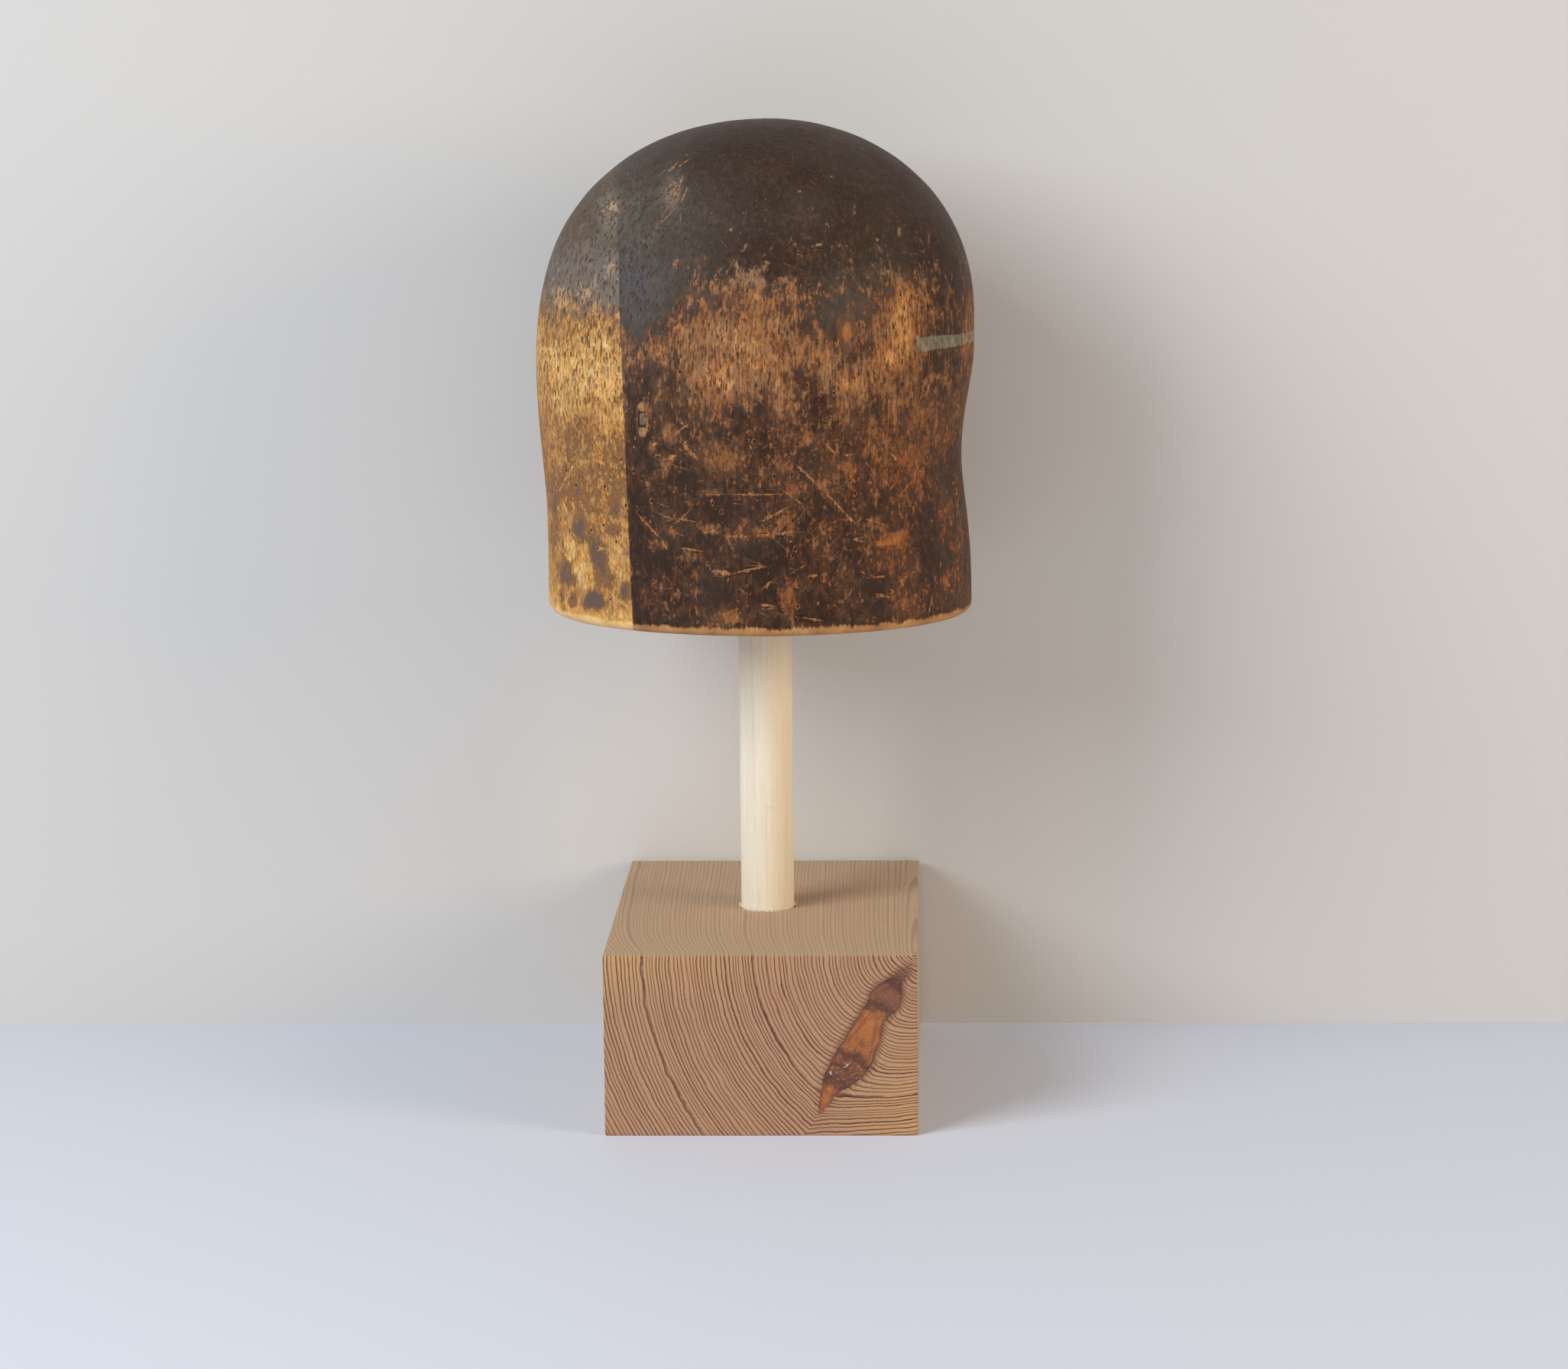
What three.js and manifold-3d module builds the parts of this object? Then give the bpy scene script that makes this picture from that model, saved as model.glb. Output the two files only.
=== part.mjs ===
// Wooden hat stand: a glued-up wooden head that lifts off a dowel post in a sawn base block.
// Millimetres, +Z up. The origin is on the post's axis, at the middle of the base block's underside.
// The head's front points to -X and its nape to +X.
import * as THREE from 'three';
import { mergeVertices } from 'three/addons/utils/BufferGeometryUtils.js';
import Module from 'manifold-3d';

// Base block
const baseLength = 143; // along X
const baseDepth = 210; // along Y
const baseHeight = 84;
const baseSocketFloor = 24; // wood left under the post

// Post
const postDiameter = 25;
const postShown = 143; // clear length between the base block and the head
const postSides = 64;
const socketClearance = 0.3; // all round the post

// Head: its size over the rim, and how each side swells above it
const headHeight = 229;
const headSocketDepth = 60; // the post's end carries the head
const frontReach = 101.3; // from the post's axis, at the rim
const frontSwell = 4.4;
const frontSwellFrom = 35;
const frontSwellTo = 123;
const napeReach = 97.2;
const napeSwell = 1.5;
const napeSwellFrom = 93;
const napeSwellTo = 123;
const napeHollow = 4.6; // depth of the hollow at the nape
const napeHollowHeight = 72;
const napeHollowSpread = 31;
const halfWidth = 86.2;
const eggShape = 0.04; // how much wider the plan is towards the nape
const rimRadius = 3.5;
const frontRimRadius = 6;

// Dome: how far below the crown each side starts to close, and how square its shoulder is
const frontDome = 136;
const frontSquareness = 3.1;
const napeDome = 94;
const napeSquareness = 2.27;
const sideDome = 126;
const sideSquareness = 2.7;
const crownOffset = 1.9; // the crown stands this far behind the post's axis

// Boards of the head: where each glue line crosses the rim, from the post's axis
const cheekSeam = -57.6;
const cheekSeamLean = 1.6; // degrees, towards the front as it rises
const coreSeam = -4.8;
const napeSeam = 51.5;
const glueLine = 0.3;

// Cut nail's shank, broken off flush with the front core board
const nailWidth = 3.3;
const nailTallness = 6;
const nailLength = 14;
const nailHeight = 98; // above the rim
const nailFromSeam = 8.5; // from the cheek's glue line, along X
const nailClearance = 0.3;

// Fineness of the head's surface
const headSides = 64;
const headRings = 22;
const rimRings = 4;

const postRadius = postDiameter / 2;
const socketRadius = postRadius + socketClearance;
const rimHeight = baseHeight + postShown;
const postTop = rimHeight + headSocketDepth;
const crownHeight = rimHeight + headHeight;
const farAway = 2 * (frontReach + napeReach + headHeight);

const wasm = await Module();
wasm.setup();

// A closed mesh as a solid that can be cut, and a cut solid as a mesh again
function toSolid(geometry) {
  const bare = geometry.clone();
  bare.deleteAttribute('normal');
  bare.deleteAttribute('uv');
  const merged = mergeVertices(bare, 1e-5);
  return new wasm.Manifold(new wasm.Mesh({
    numProp: 3,
    vertProperties: new Float32Array(merged.attributes.position.array),
    triVerts: new Uint32Array(merged.index.array),
  }));
}

function toGeometry(solid) {
  const mesh = solid.getMesh();
  const geometry = new THREE.BufferGeometry();
  geometry.setAttribute('position', new THREE.BufferAttribute(mesh.vertProperties, 3));
  geometry.setIndex(new THREE.BufferAttribute(mesh.triVerts, 1));
  geometry.computeVertexNormals();
  return geometry;
}

// An upright cylinder round the post's axis, from one height to another
function uprightCylinder(radius, low, high) {
  return new THREE.CylinderGeometry(radius, radius, high - low, postSides)
    .rotateX(Math.PI / 2)
    .translate(0, 0, (low + high) / 2);
}

// Rises from 0 to 1 between two heights, level at both
function easeBetween(low, high, height) {
  const u = Math.min(1, Math.max(0, (height - low) / (high - low)));
  return u * u * (3 - 2 * u);
}

// Closes from 1 at the dome's foot to 0 at the crown
function closing(height, dome, squareness) {
  const u = Math.max(0, 1 - (headHeight - height) / dome);
  return Math.sqrt(Math.max(0, 1 - u ** squareness));
}

// How far a round lower edge draws a side in
function drawnIn(height, radius) {
  const below = Math.max(0, radius - height);
  return radius - Math.sqrt(radius * radius - below * below);
}

// Reach to the front, reach to the nape and half width, at a height above the rim
function headSection(height) {
  const frontSide = frontReach + frontSwell * easeBetween(frontSwellFrom, frontSwellTo, height);
  const hollow = napeHollow * Math.exp(-(((height - napeHollowHeight) / napeHollowSpread) ** 2));
  const napeSide = napeReach + napeSwell * easeBetween(napeSwellFrom, napeSwellTo, height) - hollow;
  const front = (frontSide + crownOffset) * closing(height, frontDome, frontSquareness) - crownOffset;
  const nape = (napeSide - crownOffset) * closing(height, napeDome, napeSquareness) + crownOffset;
  return {
    front: front - drawnIn(height, frontRimRadius),
    nape: nape - drawnIn(height, rimRadius),
    half: halfWidth * closing(height, sideDome, sideSquareness) - drawnIn(height, rimRadius),
  };
}

// A point of the head's surface: the angle runs round the post's axis from the nape
function headPoint(height, angle) {
  const { front, nape, half } = headSection(height);
  const along = (nape - front) / 2 + ((nape + front) / 2) * Math.cos(angle);
  const across = half * Math.sin(angle) * (1 + eggShape * Math.cos(angle));
  return new THREE.Vector3(along, across, rimHeight + height);
}

// The angle at which the near side of the head reaches a place along X
function angleAt(height, along) {
  const { front, nape } = headSection(height);
  return -Math.acos((along - (nape - front) / 2) / ((nape + front) / 2));
}

// Heights of the surface's rings: close together round the lower edge and towards the crown
function ringHeights() {
  const edge = Math.max(rimRadius, frontRimRadius);
  const heights = [];
  for (let i = 0; i < rimRings; i += 1) {
    heights.push(edge * (1 - Math.cos((i / rimRings) * (Math.PI / 2))));
  }
  for (let i = 0; i < headRings; i += 1) {
    heights.push(edge + (headHeight - edge) * Math.sin((i / headRings) * (Math.PI / 2)));
  }
  return heights;
}

function wholeHead() {
  const heights = ringHeights();
  const points = [new THREE.Vector3(0, 0, rimHeight)];
  for (const height of heights) {
    for (let j = 0; j < headSides; j += 1) {
      points.push(headPoint(height, (j / headSides) * 2 * Math.PI));
    }
  }
  points.push(new THREE.Vector3(crownOffset, 0, crownHeight));
  const crown = points.length - 1;
  const at = (ring, side) => 1 + ring * headSides + (side % headSides);
  const faces = [];
  for (let j = 0; j < headSides; j += 1) {
    faces.push(0, at(0, j + 1), at(0, j));
    for (let ring = 0; ring + 1 < heights.length; ring += 1) {
      faces.push(at(ring, j), at(ring, j + 1), at(ring + 1, j + 1));
      faces.push(at(ring, j), at(ring + 1, j + 1), at(ring + 1, j));
    }
    faces.push(crown, at(heights.length - 1, j), at(heights.length - 1, j + 1));
  }
  const geometry = new THREE.BufferGeometry().setFromPoints(points);
  geometry.setIndex(faces);
  return geometry;
}

// Everything on one side of a glue line, as a block: side is -1 for the front and 1 for the nape
function beyondSeam(seam, lean, side) {
  return toSolid(
    new THREE.BoxGeometry(farAway, farAway, farAway)
      .translate(side * (farAway / 2 - glueLine / 2), 0, 0)
      .rotateY(-THREE.MathUtils.degToRad(lean))
      .translate(seam, 0, rimHeight),
  );
}

// The nail lies square to the plan of the head; its outer end is flush with the surface
function placeNail(geometry) {
  const seamThere = cheekSeam - nailHeight * Math.tan(THREE.MathUtils.degToRad(cheekSeamLean));
  const angle = angleAt(nailHeight, seamThere + nailFromSeam);
  const spot = headPoint(nailHeight, angle);
  const step = 0.01;
  const along = headPoint(nailHeight, angle + step).sub(headPoint(nailHeight, angle - step));
  return geometry.rotateZ(Math.atan2(along.y, along.x)).translate(spot.x, spot.y, spot.z);
}

function nailShank() {
  return placeNail(
    new THREE.BoxGeometry(nailWidth, nailLength, nailTallness).translate(0, nailLength / 2, 0),
  );
}

function nailHole() {
  const wide = nailWidth + 2 * nailClearance;
  const tall = nailTallness + 2 * nailClearance;
  const deep = nailLength + nailClearance;
  return placeNail(new THREE.BoxGeometry(wide, 2 * deep, tall));
}

function baseBlock() {
  const block = new THREE.BoxGeometry(baseLength, baseDepth, baseHeight).translate(0, 0, baseHeight / 2);
  const socket = uprightCylinder(socketRadius, baseSocketFloor, baseHeight + postRadius);
  return toGeometry(toSolid(block).subtract(toSolid(socket)));
}

function headBoards() {
  const socket = toSolid(uprightCylinder(socketRadius, rimHeight - postRadius, postTop));
  const head = toSolid(wholeHead()).subtract(socket).subtract(toSolid(nailHole()));
  const cheekLine = { seam: cheekSeam, lean: cheekSeamLean };
  const coreLine = { seam: coreSeam, lean: 0 };
  const napeLine = { seam: napeSeam, lean: 0 };
  const board = (frontLine, napeLineOfBoard) => {
    let solid = head;
    if (frontLine) solid = solid.subtract(beyondSeam(frontLine.seam, frontLine.lean, -1));
    if (napeLineOfBoard) solid = solid.subtract(beyondSeam(napeLineOfBoard.seam, napeLineOfBoard.lean, 1));
    return toGeometry(solid);
  };
  return {
    head_front_cheek: board(null, cheekLine),
    head_front_core: board(cheekLine, coreLine),
    head_rear_core: board(coreLine, napeLine),
    head_nape_board: board(napeLine, null),
  };
}

// Finishes
const sawnSoftwood = new THREE.MeshStandardMaterial({ color: 0xb89468, roughness: 0.85, metalness: 0 });
const paleDowel = new THREE.MeshStandardMaterial({ color: 0xd9c4a3, roughness: 0.7, metalness: 0 });
const wornPaleBoard = new THREE.MeshStandardMaterial({ color: 0xa58257, roughness: 0.65, metalness: 0 });
const darkStainedBoard = new THREE.MeshStandardMaterial({ color: 0x4c3a2c, roughness: 0.55, metalness: 0 });
const oldIron = new THREE.MeshStandardMaterial({ color: 0x6f6a63, roughness: 0.6, metalness: 0.8 });

const hatStand = new THREE.Group();

function add(parent, name, geometry, material) {
  const mesh = new THREE.Mesh(geometry, material);
  mesh.name = name;
  parent.add(mesh);
}

add(hatStand, 'base_block', baseBlock(), sawnSoftwood);
add(hatStand, 'post', uprightCylinder(postRadius, baseSocketFloor, postTop), paleDowel);

const head = new THREE.Group();
for (const [name, geometry] of Object.entries(headBoards())) {
  add(head, name, geometry, name === 'head_front_cheek' ? wornPaleBoard : darkStainedBoard);
}
add(head, 'nail_stub', nailShank(), oldIron);
hatStand.add(head);

export default hatStand;
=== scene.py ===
"""Wooden hat stand: a glued-up wooden head that lifts off a dowel post in a sawn softwood block.

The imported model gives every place. The pieces made here carry the looks. Blender works in metres; the shapes
are worked out in millimetres, with +Z up and the front of the head at -X.
"""

import math
from functools import partialmethod

import bmesh
import bpy
import numpy as np
from bpy.props import FloatProperty, FloatVectorProperty, PointerProperty
from mathutils import Matrix, Vector


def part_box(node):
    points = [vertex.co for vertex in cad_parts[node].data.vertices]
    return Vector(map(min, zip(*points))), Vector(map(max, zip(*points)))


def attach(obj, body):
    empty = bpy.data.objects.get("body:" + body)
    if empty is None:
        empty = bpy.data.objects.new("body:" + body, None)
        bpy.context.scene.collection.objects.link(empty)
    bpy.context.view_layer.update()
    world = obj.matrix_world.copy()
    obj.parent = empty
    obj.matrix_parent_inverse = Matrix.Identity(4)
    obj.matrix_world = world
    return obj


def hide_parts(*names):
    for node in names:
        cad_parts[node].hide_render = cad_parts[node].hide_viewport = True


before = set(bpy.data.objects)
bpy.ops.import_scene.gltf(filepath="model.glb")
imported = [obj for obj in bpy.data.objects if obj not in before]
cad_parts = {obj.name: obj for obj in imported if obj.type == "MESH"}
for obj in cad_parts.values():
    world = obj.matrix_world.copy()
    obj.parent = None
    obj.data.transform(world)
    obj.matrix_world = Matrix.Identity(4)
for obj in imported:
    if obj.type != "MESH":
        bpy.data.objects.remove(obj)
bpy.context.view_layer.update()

bl_info = {
    "name": "Wooden hat stand",
    "version": (1, 0, 0),
    "blender": (4, 5, 0),
    "location": "3D View > Sidebar > Hat stand",
    "description": "Makes a wooden hat stand around its packed model",
    "category": "Object",
}

MM = 0.001  # metres in a millimetre
UP = np.array([0.0, 0.0, 1.0])  # the direction up

BASE_LOW, BASE_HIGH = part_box("base_block")
POST_LOW, POST_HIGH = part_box("post")
CORE_LOW, CORE_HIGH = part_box("head_rear_core")
NAIL_LOW, NAIL_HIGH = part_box("nail_stub")

# How the head's sides run, in millimetres above the rim
FRONT_SWELL, FRONT_SWELL_FROM, FRONT_SWELL_TO = 4.4, 35.0, 123.0
NAPE_SWELL, NAPE_SWELL_FROM, NAPE_SWELL_TO = 1.5, 93.0, 123.0
NAPE_HOLLOW, NAPE_HOLLOW_HEIGHT, NAPE_HOLLOW_SPREAD = 4.6, 72.0, 31.0
EGG_SHAPE = 0.04
RIM_RADIUS, FRONT_RIM_RADIUS = 3.5, 6.0
FRONT_DOME, FRONT_SQUARENESS = 136.0, 3.1
NAPE_DOME, NAPE_SQUARENESS = 94.0, 2.27
SIDE_DOME, SIDE_SQUARENESS = 126.0, 2.7
CROWN_OFFSET = 1.9
HEAD_COLUMNS, HEAD_RINGS = 640, 251  # of points on the outside

# The spike knot on the front of the base block, in the plane of that face
PITH_X, PITH_Z = 72.0, 87.0
KNOT_ANGLE = math.radians(-121.0)

# Where the two lights stand, in metres; the floor is a little darker under them, so that it looks even
KEY_AT = (-1.55, -1.45, 1.35)
FILL_AT = (1.75, -0.95, 0.75)


def srgb(red, green, blue):
    """A colour given from 0 to 255 as a monitor shows it, as the linear colour that Blender keeps."""
    shares = (level / 255.0 for level in (red, green, blue))
    return tuple(s / 12.92 if s <= 0.04045 else ((s + 0.055) / 1.055) ** 2.4 for s in shares)


def place_property(name, description, default, **limits):
    return FloatProperty(name=name, description=description, default=default, unit="LENGTH",
                         subtype="DISTANCE", precision=4, **limits)


def length_property(name, description, default):
    return place_property(name, description, default, min=0.0)


def angle_property(name, description, degrees):
    return FloatProperty(name=name, description=description, default=math.radians(degrees), unit="ROTATION",
                         subtype="ANGLE")


def colour_property(key, description, default):
    return FloatVectorProperty(name=key.replace("_", " ").capitalize(), description=description,
                               default=srgb(*default), size=3, min=0.0, max=1.0, subtype="COLOR")


class HatStandHead(bpy.types.PropertyGroup):
    """Sizes of the glued-up head"""

    rim_height: length_property("Rim height", "Height of the head's underside", CORE_LOW.z)
    crown_height: length_property("Crown height", "Height of the top of the head", CORE_HIGH.z)
    front_reach: length_property("Front reach", "From the post's axis to the front, at the rim", 0.1013)
    nape_reach: length_property("Nape reach", "From the post's axis to the nape, at the rim", 0.0972)
    half_width: length_property("Half width", "From the post's axis to each side", 0.0862)
    socket_radius: length_property("Socket radius", "Radius of the bore for the post", 0.0128)
    socket_top: length_property("Socket top", "Height of the bore's floor", POST_HIGH.z)
    cheek_seam: place_property("Cheek seam", "Where the front glue line crosses the rim", -0.0576)
    cheek_lean: angle_property("Cheek seam lean", "How far the front glue line leans forward", 1.6)
    core_seam: place_property("Core seam", "Where the middle glue line stands", -0.0048)
    nape_seam: place_property("Nape seam", "Where the rear glue line stands", 0.0515)
    cheek_gap: length_property("Cheek glue line", "Open width of the front glue line", 0.00005)
    seam_gap: length_property("Other glue lines", "Open width of the other glue lines", 0.00001)


class HatStandPost(bpy.types.PropertyGroup):
    """Sizes of the dowel post"""

    radius: length_property("Radius", "Radius of the dowel", POST_HIGH.x)
    foot: length_property("Foot", "Height of its lower end, inside the base block", POST_LOW.z)
    top: length_property("Top", "Height of its upper end, inside the head", POST_HIGH.z)
    chamfer: length_property("Chamfer", "Eased edge at both ends", 0.0012)


class HatStandBase(bpy.types.PropertyGroup):
    """Sizes of the sawn base block"""

    length: length_property("Length", "Size from left to right", BASE_HIGH.x - BASE_LOW.x)
    depth: length_property("Depth", "Size from front to back", BASE_HIGH.y - BASE_LOW.y)
    height: length_property("Height", "Size from bottom to top", BASE_HIGH.z)
    edge: length_property("Edge", "Radius of the worn edges", 0.0005)
    ring_width: length_property("Ring width", "Mean width of a growth ring", 0.0019)


class HatStandNail(bpy.types.PropertyGroup):
    """Sizes of the cut nail's shank"""

    width: length_property("Width", "Width across the grain", 0.0033)
    tallness: length_property("Tallness", "Size along the grain", NAIL_HIGH.z - NAIL_LOW.z)
    height: length_property("Height", "Height of its middle", (NAIL_LOW.z + NAIL_HIGH.z) / 2)


# What each finish colour is for, and how it looks on a monitor
COLOURS = {
    "film": ("The dark finish where it is whole", (50, 34, 25)),
    "thin_film": ("The dark finish where it is rubbed thin", (74, 49, 35)),
    "stained_wood": ("Wood that kept most of its stain", (98, 64, 44)),
    "core_wood": ("Wood that kept some stain", (136, 94, 62)),
    "worn_wood": ("Wood rubbed bare", (160, 117, 77)),
    "pale_wood": ("The palest worn wood", (200, 154, 100)),
    "cheek_film": ("The finish left on the front board", (98, 78, 66)),
    "cheek_thin_film": ("Rubbed finish on the front board", (116, 90, 68)),
    "cheek_stained_wood": ("Stained wood of the front board", (122, 86, 55)),
    "cheek_core_wood": ("Wood of the front board", (172, 124, 74)),
    "cheek_worn_wood": ("Worn wood of the front board", (206, 160, 94)),
    "cheek_pale_wood": ("Palest wood of the front board", (230, 196, 142)),
    # Painted sheen: this grey is partly a dust haze and partly light reflected by the finish
    "bloom": ("Grey haze on the finish", (102, 96, 86)),
    "earlywood": ("Pale part of a growth ring in the base", (176, 137, 105)),
    "latewood": ("Dark part of a growth ring in the base", (80, 46, 32)),
    "sawn_top": ("Side grain of the base", (190, 161, 130)),
    "knot_light": ("Orange heart of the knot", (178, 106, 55)),
    "knot_dark": ("Dark edge of the knot", (82, 50, 38)),
    "dowel": ("Pale wood of the post", (234, 227, 210)),
    "dowel_streak": ("Darker fibres of the post", (222, 205, 175)),
    "iron": ("Rusted iron of the nail", (150, 132, 108)),
    "floor": ("Floor under the stand", (219, 225, 238)),
    "backdrop": ("Plain wall behind the stand", (203, 202, 200)),
}
WOOD_TONES = ("film", "thin_film", "stained_wood", "core_wood", "worn_wood", "pale_wood")


class HatStandColours(bpy.types.PropertyGroup):
    """Colours of the finishes"""

    __annotations__ = {key: colour_property(key, *row) for key, row in COLOURS.items()}


class HatStandStage(bpy.types.PropertyGroup):
    """Camera and light"""

    camera: FloatVectorProperty(name="Camera", description="Where the camera stands", size=3,
                                default=(0.07962, -2.12821, 0.55391), unit="LENGTH", subtype="TRANSLATION")
    lens: FloatProperty(name="Lens", description="Focal length", default=105.26, unit="CAMERA")
    camera_down: angle_property("Camera tilt", "How far the camera looks down", 9.68)
    camera_turn: angle_property("Camera turn", "How far the camera turns to the left", 1.91)
    camera_roll: angle_property("Camera roll", "How far the camera rolls", -0.53)
    key_power: FloatProperty(name="Key light", description="Power of the light on the left", default=46.0,
                             min=0.0, unit="POWER")
    fill_power: FloatProperty(name="Fill light", description="Power of the light on the right", default=19.0,
                              min=0.0, unit="POWER")
    sky_strength: FloatProperty(name="Sky", description="Strength of the even light", default=0.37, min=0.0)
    wall: place_property("Wall", "How far the backdrop stands behind the post's axis", 0.108)


class HatStandSettings(bpy.types.PropertyGroup):
    """Everything that can be changed on the hat stand"""

    head: PointerProperty(type=HatStandHead)
    post: PointerProperty(type=HatStandPost)
    base: PointerProperty(type=HatStandBase)
    nail: PointerProperty(type=HatStandNail)
    colours: PointerProperty(type=HatStandColours)
    stage: PointerProperty(type=HatStandStage)


class Wire:
    """A node's output. Sums on wires add Math nodes, or Vector Math nodes where one side is a vector."""

    def __init__(self, paint, socket):
        self.paint = paint
        self.socket = socket

    def sum(self, operation, *others):
        sides = (self, *others)
        vector = any(isinstance(s, tuple) or (isinstance(s, Wire) and s.socket.type in ("VECTOR", "RGBA"))
                     for s in sides)
        if vector:
            sides = tuple((s, s, s) if isinstance(s, float) else s for s in sides)
        kind = "ShaderNodeVectorMath" if vector else "ShaderNodeMath"
        return self.paint.node(kind, {"operation": operation}, dict(enumerate(sides)))

    def flipped(self, operation, number):
        return self.paint.node("ShaderNodeMath", {"operation": operation}, {0: number, 1: self})

    __add__ = __radd__ = partialmethod(sum, "ADD")
    __sub__ = partialmethod(sum, "SUBTRACT")
    __mul__ = __rmul__ = partialmethod(sum, "MULTIPLY")
    __truediv__ = partialmethod(sum, "DIVIDE")
    __pow__ = partialmethod(sum, "POWER")
    __abs__ = partialmethod(sum, "ABSOLUTE")
    __rsub__ = partialmethod(flipped, "SUBTRACT")
    __rtruediv__ = partialmethod(flipped, "DIVIDE")
    most = partialmethod(sum, "MAXIMUM")

    def clip(self):
        return self.paint.node("ShaderNodeClamp", {}, {0: self})

    def rises(self, low, high):
        """0 below low, 1 above high and a smooth rise between; a low above high makes it fall."""
        if low > high:
            return 1.0 - self.rises(high, low)
        return self.paint.node("ShaderNodeMapRange", {"interpolation_type": "SMOOTHSTEP"},
                               {"Value": self, "From Min": low, "From Max": high})


class Paint:
    """The nodes of one material, or of the world"""

    def __init__(self, owner):
        owner.use_nodes = True
        self.owner = owner
        self.tree = owner.node_tree
        self.tree.nodes.clear()

    def node(self, kind, settings, sockets, output=0):
        """Adds a node, makes its settings, then gives its sockets their values or links."""
        made = self.tree.nodes.new(kind)
        for key, value in settings.items():
            setattr(made, key, value)
        for key, value in sockets.items():
            if isinstance(value, Wire):
                self.tree.links.new(value.socket, made.inputs[key])
            else:
                made.inputs[key].default_value = value
        if isinstance(output, tuple):
            return tuple(Wire(self, made.outputs[o]) for o in output)
        return Wire(self, made.outputs[output]) if made.outputs else made

    def place(self):
        """Where a point lies in the object, in millimetres."""
        return self.node("ShaderNodeTexCoord", {}, {}, "Object") * (1 / MM)

    def parts(self, vector):
        return self.node("ShaderNodeSeparateXYZ", {}, {0: vector}, (0, 1, 2))

    def joined(self, x, y, z):
        return self.node("ShaderNodeCombineXYZ", {}, {0: x, 1: y, 2: z})

    def read(self, name):
        return self.node("ShaderNodeAttribute", {"attribute_name": name}, {}, "Fac")

    def noise(self, vector, detail=2.0, roughness=0.5):
        """Soft noise, mostly from -0.5 to 0.5, with lumps one unit of the vector apart."""
        found = self.node("ShaderNodeTexNoise", {},
                          {"Vector": vector, "Scale": 1.0, "Detail": detail, "Roughness": roughness}, "Fac")
        return (found - 0.5) * 2.0

    def cells(self, vector):
        """How far the middle of the nearest cell is, and three random numbers of that cell."""
        distance, colour = self.node("ShaderNodeTexVoronoi", {}, {"Vector": vector, "Scale": 1.0},
                                     ("Distance", "Color"))
        return distance, self.parts(colour)

    def ramp(self, factor, stops):
        """A tone for each place of the factor, blended between the stops."""
        made = self.node("ShaderNodeValToRGB", {}, {0: factor})
        elements = made.socket.node.color_ramp.elements
        while len(elements) < len(stops):
            elements.new(0.5)
        for element, (position, colour) in zip(elements, stops):
            element.position = position
            element.color = (*colour, 1.0)
        return made

    def mix(self, factor, first, second, blend="MIX"):
        sides = [c if isinstance(c, Wire) else (*c, 1.0) for c in (first, second)]
        return self.node("ShaderNodeMix", {"data_type": "RGBA", "blend_type": blend},
                         {0: factor, 6: sides[0], 7: sides[1]}, 2)

    def laid(self, colour, *layers):
        """Lays layers over a colour, each a share and a tone."""
        for share, tone in layers:
            colour = self.mix(share, colour, tone)
        return colour

    def tinted(self, share, colour, tint):
        """Multiplies a share of a colour by a tint."""
        return self.mix(share, colour, self.mix(1.0, colour, tint, "MULTIPLY"))

    def surface(self, colour, roughness, relief=None, depth=0.0, **shine):
        """Ends the material and gives it back: relief is in parts of depth, which is in millimetres."""
        sockets = {"Base Color": colour, "Roughness": roughness, **shine}
        if relief is not None:
            sockets["Normal"] = self.node("ShaderNodeBump", {},
                                          {"Strength": 1.0, "Distance": depth * MM, "Height": relief})
        shader = self.node("ShaderNodeBsdfPrincipled", {}, sockets)
        self.node("ShaderNodeOutputMaterial", {}, {"Surface": shader})
        return self.owner


def between(low, high, value):
    """0 below low, 1 above high and 3u^2 - 2u^3 between; a low above high makes it fall."""
    u = np.clip((value - low) / (high - low), 0.0, 1.0)
    return u * u * (3.0 - 2.0 * u)


def lumps(points, size, seed):
    """Smooth random lumps from -1 to 1: random numbers on a cubic lattice of the given size, blended between
    the eight nearest with weights 3u^2 - 2u^3."""
    cells = points / size
    low = np.floor(cells.min(axis=0)).astype(int)
    counts = np.floor(cells.max(axis=0)).astype(int) - low + 2
    lattice = np.random.default_rng(seed).uniform(-1.0, 1.0, counts)
    corner_at = np.floor(cells).astype(int)
    u = cells - corner_at
    weights = u * u * (3.0 - 2.0 * u)
    total = np.zeros(len(points))
    for corner in np.ndindex(2, 2, 2):
        share = np.prod(np.where(corner, weights, 1.0 - weights), axis=1)
        total += share * lattice[tuple((corner_at - low + corner).T)]
    return total


def skin(name, rings, first_pole, last_pole):
    """A closed mesh from rings of points: quads join each ring to the next, and a fan closes each end.
    rings has the shape (rings, points in a ring, 3), in millimetres; faces point outwards where a ring runs
    counter-clockwise and the rings start inside or below and go outwards."""
    count, sides = rings.shape[:2]
    points = np.concatenate([rings.reshape(-1, 3), [first_pole, last_pole]]) * MM
    column = np.arange(sides)
    following = np.roll(column, -1)
    row = (np.arange(count - 1) * sides)[:, None]
    quads = np.stack([row + column, row + following, row + sides + following, row + sides + column], axis=-1)
    start, end = count * sides, count * sides + 1
    top = (count - 1) * sides
    fans = np.concatenate([np.stack([np.full(sides, start), following, column], axis=-1),
                           np.stack([top + column, top + following, np.full(sides, end)], axis=-1)])
    mesh = bpy.data.meshes.new(name)
    mesh.from_pydata(points.tolist(), [], quads.reshape(-1, 4).tolist() + fans.tolist())
    return mesh


def put(context, name, data):
    """Puts an object with this data in the scene."""
    made = bpy.data.objects.new(name, data)
    context.scene.collection.objects.link(made)
    return made


def show(context, mesh, material, node, body, sharp=35.0):
    """Puts a finished mesh in the scene, in place of its CAD node, riding on its body."""
    mesh.shade_smooth()
    mesh.set_sharp_from_angle(angle=math.radians(sharp))
    mesh.materials.append(material)
    piece = put(context, mesh.name, mesh)
    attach(piece, body)
    if node:
        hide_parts(node)


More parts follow.
